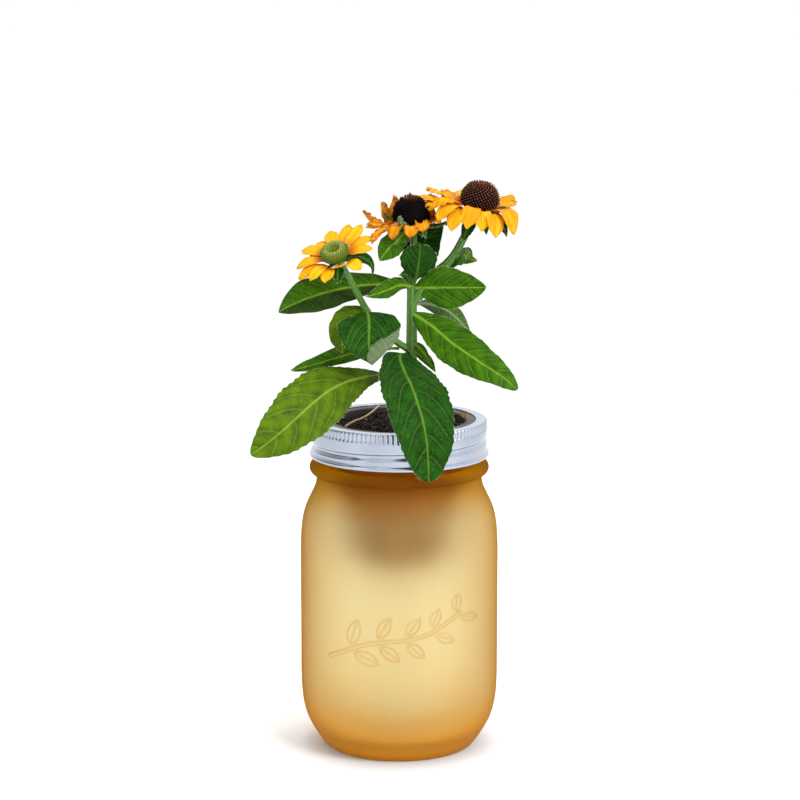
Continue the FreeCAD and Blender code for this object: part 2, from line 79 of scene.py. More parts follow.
def finish_named(name):
    """A new material with its node tree, and its Principled shader."""
    made = bpy.data.materials.new(name)
    made.use_nodes = True
    return made, made.node_tree, made.node_tree.nodes["Principled BSDF"]


board, tree, skin = finish_named("painted_board")
grain = add(tree, "ShaderNodeTexNoise", {"Scale": 900.0, "Detail": 3.0})
paint = add(tree, "ShaderNodeMix", {"Factor": grain.outputs["Fac"], "A": srgb("#F3F3F3"),
                                    "B": srgb("#F6F6F6")}, data_type="RGBA")
# painted shade: the floor colour turns a bluish grey where ambient occlusion finds the jar close by. This
# paints a contact shadow round the foot that stays neutral beside the amber glow.
corner = add(tree, "ShaderNodeAmbientOcclusion", {"Distance": 0.04}, samples=8)
open_part = add(tree, "ShaderNodeMapRange", {"Value": corner.outputs["AO"], "From Min": 0.35,
                                             "From Max": 0.97})
tint = add(tree, "ShaderNodeMix", {"Factor": open_part.outputs["Result"], "A": srgb("#CDD5E0"),
                                   "B": paint.outputs["Result"]}, data_type="RGBA")
tree.links.new(tint.outputs["Result"], skin.inputs["Base Color"])
skin.inputs["Roughness"].default_value = 0.85
skin.inputs["Specular IOR Level"].default_value = 0.1

floor_mesh = bpy.data.meshes.new("sweep")
reach = 6.0
floor_mesh.from_pydata([(-reach, -reach, 0), (reach, -reach, 0), (reach, reach, 0), (-reach, reach, 0)], [],
                       [(0, 1, 2, 3)])
sweep = bpy.data.objects.new("sweep", floor_mesh)
scene.collection.objects.link(sweep)
floor_mesh.materials.append(board)

world = bpy.data.worlds.new("white_room")
scene.world = world
world.use_nodes = True
# the wall on the left is greyer, which gives the bright metal something to shade towards
tree = world.node_tree
around = add(tree, "ShaderNodeTexCoord")
way = add(tree, "ShaderNodeSeparateXYZ", {"Vector": around.outputs["Generated"]})
leftward = add(tree, "ShaderNodeMapRange", {"Value": way.outputs["X"], "From Min": -0.35,
                                            "From Max": -0.95}, interpolation_type="SMOOTHSTEP")
walls = add(tree, "ShaderNodeMix", {"Factor": leftward.outputs["Result"], "A": srgb("#FFFFFF"),
                                    "B": srgb("#7E7E7C")}, data_type="RGBA")
tree.links.new(walls.outputs["Result"], tree.nodes["Background"].inputs["Color"])
tree.nodes["Background"].inputs["Strength"].default_value = 1.22


def soft_box(name, place, aim, width, height, watts):
    lamp = bpy.data.lights.new(name, "AREA")
    lamp.shape = "RECTANGLE"
    lamp.size, lamp.size_y = width, height
    lamp.energy = watts
    holder = bpy.data.objects.new(name, lamp)
    holder.location = place
    holder.rotation_euler = (Vector(aim) - Vector(place)).to_track_quat("-Z", "Y").to_euler()
    scene.collection.objects.link(holder)


soft_box("key_box", (0.55, -0.7, 0.8), (0, 0, 0.17), 0.4, 0.4, 8.0)
soft_box("fill_box", (-0.8, -0.5, 0.45), (0, 0, 0.16), 0.5, 0.6, 1.5)
soft_box("top_box", (0.0, 0.15, 1.1), (0, 0, 0.1), 0.5, 0.5, 2.5)

lens = bpy.data.cameras.new("camera")
lens.lens = 140.66
lens.sensor_width = 36.0
lens.clip_start = 0.05
camera = bpy.data.objects.new("camera", lens)
camera.location = (0.0004, -1.5, 0.4584)
camera.rotation_euler = Euler((math.radians(90 - 10.78), 0, 0))
scene.collection.objects.link(camera)
scene.camera = camera

# ---------------------------------------------------------------------------------------------
# Jar
# Pressed soda-lime glass with a wide screw mouth and a raised leafy sprig, sprayed outside with a
# translucent amber lacquer that dries frosted. Light soaks through it, so the cup inside shows only
# as a soft dark shape, and the colour deepens wherever the wall is seen edge-on.


def smooth_line(points, count):
    """Natural cubic spline through points, at count even steps of chord length."""
    p = np.array(points, float)
    s = np.concatenate([[0], np.cumsum(np.linalg.norm(np.diff(p, axis=0), axis=1))])
    n = len(p)
    h = np.diff(s)
    a, b = np.zeros((n, n)), np.zeros((n, p.shape[1]))
    a[0, 0] = a[-1, -1] = 1
    for i in range(1, n - 1):
        a[i, i - 1:i + 2] = h[i - 1], 2 * (h[i - 1] + h[i]), h[i]
        b[i] = 6 * ((p[i + 1] - p[i]) / h[i] - (p[i] - p[i - 1]) / h[i - 1])
    m = np.linalg.solve(a, b)
    q = np.linspace(0, s[-1], count) if np.isscalar(count) else np.asarray(count) * s[-1]
    k = np.clip(np.searchsorted(s, q, side="right") - 1, 0, n - 2)
    u, w = (s[k + 1] - q)[:, None], (q - s[k])[:, None]
    hk = h[k][:, None]
    return (m[k] * u ** 3 + m[k + 1] * w ** 3) / (6 * hk) + (p[k] / hk - m[k] * hk / 6) * u + (
        p[k + 1] / hk - m[k + 1] * hk / 6) * w


def make_piece(name, parts, materials, smooth=True):
    """One mesh from parts: v points in mm, f faces, m material number, and any further number per point."""
    verts = np.concatenate([p["v"] for p in parts])
    starts = np.cumsum([0] + [len(p["v"]) for p in parts])
    faces = []
    for p, start in zip(parts, starts):
        f = p["f"]
        if isinstance(f, np.ndarray):
            faces += (f + start).tolist()
        else:
            faces += [[int(i) + int(start) for i in g] for g in f]
    mesh = bpy.data.meshes.new(name)
    mesh.from_pydata((verts * mm).tolist(), [], faces)
    for item in materials:
        mesh.materials.append(item)
    kinds = np.concatenate([np.broadcast_to(p.get("m", 0), len(p["f"])) for p in parts]).astype(np.int32)
    mesh.polygons.foreach_set("material_index", kinds)
    mesh.polygons.foreach_set("use_smooth", np.full(len(faces), smooth))
    for mark in sorted({k for p in parts for k in p} - {"v", "f", "m"}):
        layer = mesh.attributes.new(mark, "FLOAT", "POINT")
        values = [np.broadcast_to(p.get(mark, 0.0), len(p["v"])) for p in parts]
        layer.data.foreach_set("value", np.concatenate(values).astype(np.float32))
    mesh.update()
    piece = bpy.data.objects.new(name, mesh)
    scene.collection.objects.link(piece)
    return piece


def turn_grid(rows, columns):
    """Faces of a grid of points that closes round its columns."""
    i, j = np.meshgrid(np.arange(rows - 1), np.arange(columns), indexing="ij")
    n = (j + 1) % columns
    quads = np.stack([i * columns + j, i * columns + n, (i + 1) * columns + n, (i + 1) * columns + j], -1)
    return [tuple(q) for q in quads.reshape(-1, 4)]


# profile in millimetres from the middle of the push-up, out round the foot and up to the rim
heel = smooth_line([(34.6, 0.0), (37.2, 1.7), (40.0, 5.2), (43.2, 10.3), (45.9, 16.1), (47.4, 22),
                    (48.2, 29), (48.5, 39)], 46)
shoulder = smooth_line([(48.5, 99), (48.1, 108.5), (47.5, 113.8), (46.4, 118.6), (44.5, 123.4),
                        (42.2, 128.2), (40.9, 131.6), (40.5, 134.5)], 42)
bead_turn = np.radians(np.linspace(-90, 90, 17))
bead = np.c_[40.5 + 3.4 * np.cos(bead_turn) ** 0.8, 140 + 3.0 * np.sin(bead_turn)]
outside = np.concatenate([
    smooth_line([(0.0, 3.6), (10, 3.3), (20, 2.3), (28, 0.9), (31.0, 0.15)], 14)[1:],
    [(32.0, 0.0), (33.4, 0.0)],
    heel,
    [(48.5, z) for z in np.arange(39.6, 99, 0.6)],
    shoulder,
    [(40.5, 135.4), (40.5, 136.6)],
    bead,
    [(40.5, z) for z in np.arange(143.4, 161.2, 0.4)],
    [(40.43, 161.6), (40.2, 161.95), (39.8, 162.15), (39.4, 162.2)],
])
inside = np.concatenate([
    [(38.3, 162.2), (37.8, 162.05), (37.5, 161.7), (37.4, 161.2)],
    [(37.4, z) for z in (156, 150, 144, 138)],
    smooth_line([(37.4, 134), (38.3, 130), (41.0, 123.8), (43.2, 117.6), (44.5, 110.5), (45.3, 99)], 26),
    [(45.3, z) for z in (87, 75, 63, 51)],
    smooth_line([(45.3, 39), (44.6, 26), (42.4, 17.4), (38.6, 11.4), (33.0, 8.2), (26.0, 7.4)], 26),
    smooth_line([(26.0, 7.4), (13.0, 7.85), (0.6, 8.0)], 8)[1:],
])
# columns are close together across the front, where the sprig is, and wider apart behind
front_arc = np.radians(np.linspace(-62, 62, 264))
back_arc = np.radians(np.linspace(62, 298, 130))[1:-1]
around = np.concatenate([front_arc, back_arc]) - math.pi / 2


def sprig_height(x, z):
    """Raised sprig seen from the front, in millimetres: a twig with paired leaves and berries."""
    line = smooth_line([(-33, 54), (-12, 63), (10, 66), (34, 80)], 60)
    height = np.zeros_like(x)
    gap = np.full_like(x, 99.0)
    for px, pz in smooth_line(line[::6], 240):
        gap = np.minimum(gap, np.hypot(x - px, z - pz))
    height = np.maximum(height, np.clip((1.15 - gap) / 0.7, 0, 1))
    slope = np.gradient(line, axis=0)
    for i in range(5):
        u = (i + 0.8) / 5.35
        k = int(u * 59)
        heading = math.atan2(slope[k, 1], slope[k, 0])
        size = 15.0 - 1.2 * i
        for turn in (48, -48):
            a = heading + math.radians(turn)
            dx, dz = x - line[k, 0], z - line[k, 1]
            along = (dx * math.cos(a) + dz * math.sin(a) - 1.6) / size
            across = (-dx * math.sin(a) + dz * math.cos(a)) / (size * 0.24)
            edge = np.where((along > 0) & (along < 1), 4 * along * (1 - along), 0)
            inner = np.clip((edge - np.abs(across)) / 0.34, 0, 1)
            groove = 0.55 * np.exp(-(across * size * 0.24 / 0.35) ** 2) * (along < 0.9)
            height = np.maximum(height, inner * (1 - groove))
    soft = height * height * (3 - 2 * height)
    return 0.58 * soft


thread_pitch, thread_turns, thread_start, thread_z = 6.35, 1.25, 45.0, 150.9


def thread_shape(angle, z, middle_z, crest, root):
    """1 on the crest of a right-hand ridge, 0 off its root, fading in at both ends of the ridge."""
    best = np.zeros_like(z)
    for lap in (0, 1):
        turn = np.mod(np.degrees(angle) - thread_start, 360) + 360 * lap
        centre = middle_z + thread_pitch * turn / 360
        side = np.clip((root - np.abs(z - centre)) / (root - crest), 0, 1)
        ends = np.clip(np.minimum(turn, 360 * thread_turns - turn) / 14, 0, 1)
        best = np.maximum(best, side * ends)
    return best


profile = np.concatenate([outside, inside])
r = np.repeat(profile[:, 0][:, None], len(around), 1)
z = np.repeat(profile[:, 1][:, None], len(around), 1)
angle = np.repeat(around[None, :], len(profile), 0)
outer_rows = np.arange(len(profile)) < len(outside)
on_body = outer_rows[:, None] & (z > 44) & (z < 98)
raised = np.where(on_body & (np.sin(angle) < -0.4), sprig_height(48.5 * np.cos(angle), z), 0.0)
r = r + raised
on_neck = outer_rows[:, None] & (z > 145) & (z < 161.5)
r = np.where(on_neck, r + 1.4 * thread_shape(angle, z, thread_z, 0.6, 1.5), r)
# fine knurling round the bearing ring keeps the hot glass from sticking to the belt
on_ring = outer_rows[:, None] & (z < 3.2) & (r > 33)
r = np.where(on_ring, r - 0.22 * (0.5 + 0.5 * np.cos(angle * 90)), r)
# how steep the raised glass is, where the lacquer colour is deepened: painted shade for the shaded outlines
# of the sprig
relief_slope_shade = np.hypot(np.diff(raised, axis=0, append=0) / 0.6, np.diff(raised, axis=1, append=0) / 0.4)
relief_slope_shade = np.clip(relief_slope_shade / 0.7, 0, 1)
verts = np.stack([r * np.cos(angle), r * np.sin(angle), z], -1).reshape(-1, 3)
faces = turn_grid(len(profile), len(around))
kinds = [0 if k // len(around) < len(outside) + 2 else 1 for k in range(len(faces))]
first, last = len(verts), len(verts) + 1
verts = np.concatenate([verts, [(0, 0, 3.6), (0, 0, 8.0)]])
columns = len(around)
faces += [(first, (j + 1) % columns, j) for j in range(columns)]
top = (len(profile) - 1) * columns
faces += [(last, top + j, top + (j + 1) % columns) for j in range(columns)]
kinds += [0] * columns + [1] * columns

# frosting scatters light widely, so the wall glows; the clear inner face only adds a little gloss
frost, tree, skin = finish_named("frosted_amber_lacquer_on_glass")
place = add(tree, "ShaderNodeTexCoord")
speck = add(tree, "ShaderNodeTexNoise", {"Vector": place.outputs["Object"], "Scale": 1500.0, "Detail": 4.0})
cloud = add(tree, "ShaderNodeTexNoise", {"Vector": place.outputs["Object"], "Scale": 18.0, "Detail": 3.0})
slant = add(tree, "ShaderNodeLayerWeight", {"Blend": 0.5})
deep = add(tree, "ShaderNodeMath", {0: slant.outputs["Facing"], 1: 1.3}, operation="POWER")
flat = add(tree, "ShaderNodeMix", {"Factor": cloud.outputs["Fac"], "A": srgb("#FFFCE2"),
                                   "B": srgb("#FFFEEC")}, data_type="RGBA")
edged = add(tree, "ShaderNodeMix", {"Factor": deep.outputs["Value"], "A": flat.outputs["Result"],
                                    "B": srgb("#ECB414")}, data_type="RGBA")
# the lacquer gathers at the heel and lies thicker round the shoulder and the bead. The heel colour is also
# made brighter, painted light standing in for light scattered into the foot.
spot = add(tree, "ShaderNodeSeparateXYZ", {"Vector": place.outputs["Object"]})
heel_part = add(tree, "ShaderNodeMapRange", {"Value": spot.outputs["Z"], "From Min": 0.036,
                                             "From Max": -0.002}, interpolation_type="SMOOTHSTEP")
neck_part = add(tree, "ShaderNodeMapRange", {"Value": spot.outputs["Z"], "From Min": 0.116,
                                             "From Max": 0.143}, interpolation_type="SMOOTHSTEP")
heel_lacquer_and_painted_light = add(tree, "ShaderNodeMix", {"Factor": heel_part.outputs["Result"], "A": edged.outputs["Result"],
                                       "B": srgb("#FFCE2A")}, data_type="RGBA")
bank = add(tree, "ShaderNodeMix", {"Factor": neck_part.outputs["Result"], "A": heel_lacquer_and_painted_light.outputs["Result"],
                                   "B": srgb("#EABA12")}, data_type="RGBA")
# painted shade: the sprig's slopes take a deeper amber, standing in for shade along the edges of the relief
slope = add(tree, "ShaderNodeAttribute", attribute_name="slope")
step = add(tree, "ShaderNodeMath", {0: slope.outputs["Fac"], 1: 0.4}, operation="MULTIPLY")
tint = add(tree, "ShaderNodeMix", {"Factor": step.outputs["Value"], "A": bank.outputs["Result"],
                                   "B": srgb("#E2B24A")}, data_type="RGBA")
# the pigment that scatters light back is a deeper amber than the light that comes through
glaze = add(tree, "ShaderNodeMix", {"Factor": 1.0, "A": tint.outputs["Result"], "B": srgb("#F0C470")},
            data_type="RGBA", blend_type="MULTIPLY")
tree.links.new(glaze.outputs["Result"], skin.inputs["Base Color"])
rough = add(tree, "ShaderNodeMapRange", {"Value": speck.outputs["Fac"], "To Min": 0.46, "To Max": 0.56})
tree.links.new(rough.outputs["Result"], skin.inputs["Roughness"])
skin.inputs["IOR"].default_value = 1.52
skin.inputs["Transmission Weight"].default_value = 0.35
skin.inputs["Specular IOR Level"].default_value = 0.3
# grain of the dried frosting, drawn at about 0.7 mm so that it shows
bump = add(tree, "ShaderNodeBump", {"Height": speck.outputs["Fac"], "Strength": 0.10, "Distance": 0.0002})
tree.links.new(bump.outputs["Normal"], skin.inputs["Normal"])
lit = add(tree, "ShaderNodeBsdfTranslucent", {"Color": tint.outputs["Result"],
                                              "Normal": bump.outputs["Normal"]})
haze = add(tree, "ShaderNodeBsdfRefraction", {"Color": tint.outputs["Result"], "Roughness": 0.84,
                                              "IOR": 1.45, "Normal": bump.outputs["Normal"]})
soft = add(tree, "ShaderNodeMixShader", {0: 0.80, 1: lit.outputs["BSDF"], 2: haze.outputs["BSDF"]})
# the thick lacquer at the heel throws more light back and lets less through
through = add(tree, "ShaderNodeMapRange", {"Value": heel_part.outputs["Result"], "To Min": 0.91,
                                           "To Max": 0.55})
blend = add(tree, "ShaderNodeMixShader", {0: through.outputs["Result"], 1: skin.outputs["BSDF"],
                                          2: soft.outputs["Shader"]})
tree.links.new(blend.outputs["Shader"], tree.nodes["Material Output"].inputs["Surface"])

bare, tree, skin = finish_named("pressed_soda_lime_glass")
place = add(tree, "ShaderNodeTexCoord")
ripple = add(tree, "ShaderNodeTexNoise", {"Vector": place.outputs["Object"], "Scale": 60.0, "Detail": 1.0})
bump = add(tree, "ShaderNodeBump", {"Height": ripple.outputs["Fac"], "Strength": 0.1, "Distance": 0.0005})
rough = add(tree, "ShaderNodeMapRange", {"Value": ripple.outputs["Fac"], "To Min": 0.05, "To Max": 0.12})
shine = add(tree, "ShaderNodeBsdfGlossy", {"Color": srgb("#FFFFFF"), "Roughness": rough.outputs["Result"],
                                           "Normal": bump.outputs["Normal"]})
clear = add(tree, "ShaderNodeBsdfTransparent", {"Color": srgb("#FFFCF4")})
mirror = add(tree, "ShaderNodeFresnel", {"IOR": 1.25, "Normal": bump.outputs["Normal"]})
blend = add(tree, "ShaderNodeMixShader", {0: mirror.outputs["Fac"], 1: clear.outputs["BSDF"],
                                          2: shine.outputs["BSDF"]})
tree.links.new(blend.outputs["Shader"], tree.nodes["Material Output"].inputs["Surface"])

relief_slope_shade = np.concatenate([relief_slope_shade.ravel(), [0, 0]])
jar = make_piece("frosted_jar", [{"v": verts, "f": faces, "m": kinds, "slope": relief_slope_shade}], [frost, bare])
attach(jar, "jar")
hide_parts("glass_jar")

# ---------------------------------------------------------------------------------------------
# Screw band
# Rolled from thin plated steel: a flat lip, a fluted corner for grip, a thread groove pressed
# inwards and a curled bottom edge. Satin, cool grey, with faint lines from rolling.
groove_z = 148.75
lip = [(37.6, 163.25), (37.58, 163.45), (37.65, 163.7), (37.9, 163.8), (38.6, 163.8), (39.2, 163.74),
       (40.0, 163.74), (40.6, 163.8), (41.3, 163.8)]
corner = [(42.9 - 1.0 + math.sin(a), 162.8 + math.cos(a)) for a in np.radians(np.linspace(0, 90, 9))]
wall_out = [(42.9, z) for z in np.arange(162.5, 148.3, -0.3)]
curl = [(42.95, 148.1), (43.0, 147.95)] + [
    (43.0 + 0.9 * math.cos(a), 146.75 + 1.15 * math.sin(a)) for a in np.radians(np.linspace(75, -110, 15))]
wall_in = [(42.3, 146.4)] + [(42.3, z) for z in np.arange(147.0, 160.2, 0.3)]
under = [(41.8, 160.6), (41.35, 161.1), (41.35, 161.7), (42.2, 162.1), (42.2, 162.5), (41.7, 163.2),
         (40.0, 163.2), (38.5, 163.2)]
loop = np.array(lip + corner + wall_out + curl + wall_in + under)
flutes = 112
columns = flutes * 9
around = np.linspace(0, 2 * math.pi, columns, endpoint=False)
r = np.repeat(loop[:, 0][:, None], columns, 1)
z = np.repeat(loop[:, 1][:, None], columns, 1)
angle = np.repeat(around[None, :], len(loop), 0)
row = np.arange(len(loop))[:, None]
first_wall = len(lip) + len(corner)
on_out = (row >= len(lip)) & (row < first_wall + len(wall_out)) & (z > 149)
on_in = (row >= len(loop) - len(under) - len(wall_in)) & (row < len(loop) - len(under))
dent = thread_shape(angle, z, groove_z, 0.35, 2.0)
dent = dent * dent * (3 - 2 * dent)
r = np.where(on_out | on_in, r - 1.05 * dent, r)
press = np.clip((z - 158.9) / 0.9, 0, 1) * np.clip((163.75 - z) / 0.5, 0, 1)
tooth = np.clip(1.35 * (0.5 + 0.5 * np.cos(angle * flutes)) - 0.3, 0, 1)
on_corner = (row >= len(lip) - 1) & (row < first_wall + len(wall_out))
r = np.where(on_corner, r - 0.55 * press * tooth, r)
verts = np.stack([r * np.cos(angle), r * np.sin(angle), z], -1).reshape(-1, 3)
faces = turn_grid(len(loop), columns)
faces = [f[::-1] for f in faces]
end = (len(loop) - 1) * columns
faces += [(j, (j + 1) % columns, end + (j + 1) % columns, end + j) for j in range(columns)]

steel, tree, skin = finish_named("satin_plated_steel")
place = add(tree, "ShaderNodeTexCoord")
lines = add(tree, "ShaderNodeMapping", {"Vector": place.outputs["Object"], "Scale": (40.0, 40.0, 2600.0)})
roll = add(tree, "ShaderNodeTexNoise", {"Vector": lines.outputs["Vector"], "Scale": 1.0, "Detail": 3.0})
smear = add(tree, "ShaderNodeTexNoise", {"Vector": place.outputs["Object"], "Scale": 45.0, "Detail": 4.0})
tint = add(tree, "ShaderNodeMix", {"Factor": smear.outputs["Fac"], "A": srgb("#9AA3B2"),
                                   "B": srgb("#B9C0CC")}, data_type="RGBA")
tree.links.new(tint.outputs["Result"], skin.inputs["Base Color"])
rough = add(tree, "ShaderNodeMapRange", {"Value": smear.outputs["Fac"], "To Min": 0.17, "To Max": 0.30})
tree.links.new(rough.outputs["Result"], skin.inputs["Roughness"])
bump = add(tree, "ShaderNodeBump", {"Height": roll.outputs["Fac"], "Strength": 0.06, "Distance": 0.0002})
tree.links.new(bump.outputs["Normal"], skin.inputs["Normal"])
skin.inputs["Metallic"].default_value = 1.0
band = make_piece("rolled_band", [{"v": verts, "f": faces}], [steel])
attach(band, "band")
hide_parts("screw_band")

# ---------------------------------------------------------------------------------------------
# Planting cup
# Injection-moulded polypropylene in dark brown, slotted low down and holed in the floor so that
# water creeps in. Its flange is trapped between jar rim and band. The CAD shape is already right.
cup_plastic, tree, skin = finish_named("moulded_brown_polypropylene")
place = add(tree, "ShaderNodeTexCoord")
sparks = add(tree, "ShaderNodeTexNoise", {"Vector": place.outputs["Object"], "Scale": 1400.0,
                                          "Detail": 2.0})
cloud = add(tree, "ShaderNodeTexNoise", {"Vector": place.outputs["Object"], "Scale": 60.0, "Detail": 2.0})
brown = add(tree, "ShaderNodeMix", {"Factor": cloud.outputs["Fac"], "A": srgb("#7A4A06"),
                                    "B": srgb("#8A560C")}, data_type="RGBA")
# the top of the cup, rim and flange, is made much darker brown
spot = add(tree, "ShaderNodeSeparateXYZ", {"Vector": place.outputs["Object"]})
darker_top = add(tree, "ShaderNodeMapRange", {"Value": spot.outputs["Z"], "From Min": 0.150, "From Max": 0.157})
tint = add(tree, "ShaderNodeMix", {"Factor": darker_top.outputs["Result"], "A": brown.outputs["Result"],
                                   "B": srgb("#241408")}, data_type="RGBA")
tree.links.new(tint.outputs["Result"], skin.inputs["Base Color"])
bump = add(tree, "ShaderNodeBump", {"Height": sparks.outputs["Fac"], "Strength": 0.15, "Distance": 0.0001})
tree.links.new(bump.outputs["Normal"], skin.inputs["Normal"])
skin.inputs["Roughness"].default_value = 0.45
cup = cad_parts["net_cup"]
cup.data.materials.clear()
cup.data.materials.append(cup_plastic)

# ---------------------------------------------------------------------------------------------
# Wick
# A strip of needled white felt that hangs from the potting mix into the water. Felt has no weave:
# it is a mat of short fibres, so it looks soft, slightly lumpy and matte.
wick_lo, wick_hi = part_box("wick")


def settle(piece, node):
    """Fits the piece's own box into the CAD node's box, 0.02 mm inside each face."""
    inset = 0.02 * mm
    lo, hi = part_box(node)
    n = len(piece.data.vertices)
    co = np.empty(n * 3)
    piece.data.vertices.foreach_get("co", co)
    co = co.reshape(-1, 3)
    low, high = co.min(0), co.max(0)
    lo, hi = np.array(lo) + inset, np.array(hi) - inset
    co = lo + (co - low) / np.maximum(high - low, 1e-9) * (hi - lo)
    piece.data.vertices.foreach_set("co", co.ravel())
    piece.data.update()


w, t = (wick_hi.x - wick_lo.x) / mm, (wick_hi.y - wick_lo.y) / mm
low, high = wick_lo.z / mm, wick_hi.z / mm
rows, cols = 120, 15
strip = []
for i in range(rows):
    z = low + (high - low) * i / (rows - 1)
    for side in (1, -1):
        for j in range(cols):
            u = -1 + 2 * j / (cols - 1)
            x = u * w / 2 * (1 - 0.012 * abs(math.sin(z * 0.9)))
            y = side * t / 2 * (1 - 0.55 * abs(u) ** 6) * (1 - 0.06 * math.sin(z * 1.7 + u * 3))
            strip.append((x, y, z))
ring = 2 * cols
order = list(range(cols)) + list(range(2 * cols - 1, cols - 1, -1))
faces = []
for i in range(rows - 1):
    for k in range(ring):
        a, b = order[k], order[(k + 1) % ring]
        faces.append((i * ring + a, (i + 1) * ring + a, (i + 1) * ring + b, i * ring + b))
faces.append([order[k] for k in range(ring)])
faces.append([(rows - 1) * ring + order[k] for k in range(ring)][::-1])
felt, tree, skin = finish_named("needled_felt")
place = add(tree, "ShaderNodeTexCoord")
# fibres are about 0.02 mm thick, drawn at 0.3 mm so that they show
fibre = add(tree, "ShaderNodeTexNoise", {"Vector": place.outputs["Object"], "Scale": 3000.0, "Detail": 6.0,
                                         "Distortion": 1.5})
tint = add(tree, "ShaderNodeMix", {"Factor": fibre.outputs["Fac"], "A": srgb("#D8D2C4"),
                                   "B": srgb("#F3F0E8")}, data_type="RGBA")
tree.links.new(tint.outputs["Result"], skin.inputs["Base Color"])
bump = add(tree, "ShaderNodeBump", {"Height": fibre.outputs["Fac"], "Strength": 0.6, "Distance": 0.0003})
tree.links.new(bump.outputs["Normal"], skin.inputs["Normal"])
skin.inputs["Roughness"].default_value = 0.95
skin.inputs["Sheen Weight"].default_value = 0.3
wick = make_piece("felt_wick", [{"v": np.array(strip), "f": faces}], [felt])
settle(wick, "wick")
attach(wick, "plug")
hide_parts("wick")

# ---------------------------------------------------------------------------------------------
# Potting mix
# Moist peat with bark fines and a few pale crumbs, pressed into the cup and left rough on top.
# The crumbs are separate grains of 0.4 to 2.6 mm heaped over a lumpy surface, and finer ones stand
# out of the side wall, which shows when the plant is drawn from its cup.
around = np.linspace(0, 2 * math.pi, 160, endpoint=False)
waves = [(dice.uniform(0.08, 0.9), dice.uniform(0, 6.28), dice.uniform(0, 6.28)) for _ in range(26)]


def lumps(x, y):
    out = np.zeros_like(x)
    for k, turn, phase in waves:
        out += np.sin((x * math.cos(turn) + y * math.sin(turn)) * k + phase) * 0.35 / (1 + 2.2 * k)
    return out


top_rings = 40
top_r = np.linspace(0.4, 31.4, top_rings)
outline = [(31.5, 160.2), (31.2, 157), (30.0, 150), (28.0, 140), (26.0, 130), (23.9, 120), (21.8, 110),
           (19.7, 100), (18.0, 95.4)]
down = np.linspace(160.2, 95.4, 90)
side = np.c_[np.interp(-down, [-p[1] for p in outline], [p[0] for p in outline]), down]
r = np.concatenate([top_r, [s[0] for s in side], [9.0]])
base_z = np.concatenate([161.0 + 0 * top_r, [s[1] for s in side], [95.25]])
r = np.repeat(r[:, None], len(around), 1)
z = np.repeat(base_z[:, None], len(around), 1)
angle = np.repeat(around[None, :], len(base_z), 0)
on_top = np.arange(len(base_z))[:, None] < top_rings
crumbled = dice.uniform(0, 1, r.shape) + np.sin(angle * 9 + z * 0.4) + np.sin(angle * 5 - z * 0.7 + 2)
r = np.where(on_top | (z < 95.5) | (z > 159), r, r - 0.35 - 0.2 * np.clip(crumbled, 0, 3))
x, y = r * np.cos(angle), r * np.sin(angle)
z = np.where(on_top, z - 0.55 + lumps(x, y) - 0.6 * (r / 31) ** 6, z)
verts = np.stack([x, y, z], -1).reshape(-1, 3)
faces = [f[::-1] for f in turn_grid(len(base_z), len(around))]
n = len(around)
verts = np.concatenate([verts, [(0, 0, float(z[0].mean())), (0, 0, 95.25)]])
faces += [(len(verts) - 2, j, (j + 1) % n) for j in range(n)]
faces += [(len(verts) - 1, (len(base_z) - 1) * n + (j + 1) % n,
           (len(base_z) - 1) * n + j) for j in range(n)]

shaper = bmesh.new()
bmesh.ops.create_icosphere(shaper, subdivisions=1, radius=1.0)
grain_v = np.array([v.co[:] for v in shaper.verts])
grain_f = [[v.index for v in f.verts] for f in shaper.faces]
shaper.free()


def turned_by(points, angles):
    return points @ np.array(Euler(angles).to_matrix()).T


parts = [{"v": verts, "f": faces, "tone": 0.05}]
top_crumbs, side_crumbs = 1500, 2600
for k in range(top_crumbs):
    far = 30.6 * math.sqrt(dice.uniform(0, 1))
    turn = dice.uniform(0, 2 * math.pi)
    cx, cy = far * math.cos(turn), far * math.sin(turn)
    if math.hypot(cx - 3.6, cy - 1.8) < 3.0:
        continue
    size = dice.choice([0.35, 0.5, 0.7, 1.0], p=[0.35, 0.35, 0.2, 0.1])
    shape = grain_v * size * dice.uniform(0.55, 1.3, 3) * dice.uniform(0.8, 1.2, (len(grain_v), 1))
    shape = turned_by(shape, tuple(dice.uniform(0, 6.28, 3)))
    cz = 160.5 + float(lumps(np.array(cx), np.array(cy))) + size * 0.25
    cz -= 0.6 * (far / 31) ** 6
    shade = dice.choice([0.1, 0.35, 0.6, 1.0], p=[0.4, 0.32, 0.22, 0.06])
    parts.append({"v": shape + (cx, cy, cz), "f": grain_f, "tone": shade})
for k in range(side_crumbs):
    cz = 97 + 61 * math.sqrt(dice.uniform(0, 1))
    turn = dice.uniform(0, 2 * math.pi)
    far = float(np.interp(-cz, [-p[1] for p in outline], [p[0] for p in outline])) - 0.45
    size = dice.choice([0.35, 0.45, 0.6])
    shape = grain_v * size * dice.uniform(0.6, 1.2, 3)
    shape = turned_by(shape, tuple(dice.uniform(0, 6.28, 3)))
    shade = dice.choice([0.1, 0.4, 0.65, 1.0], p=[0.25, 0.3, 0.3, 0.15])
    parts.append({"v": shape + (far * math.cos(turn), far * math.sin(turn), cz), "f": grain_f,
                  "tone": shade})


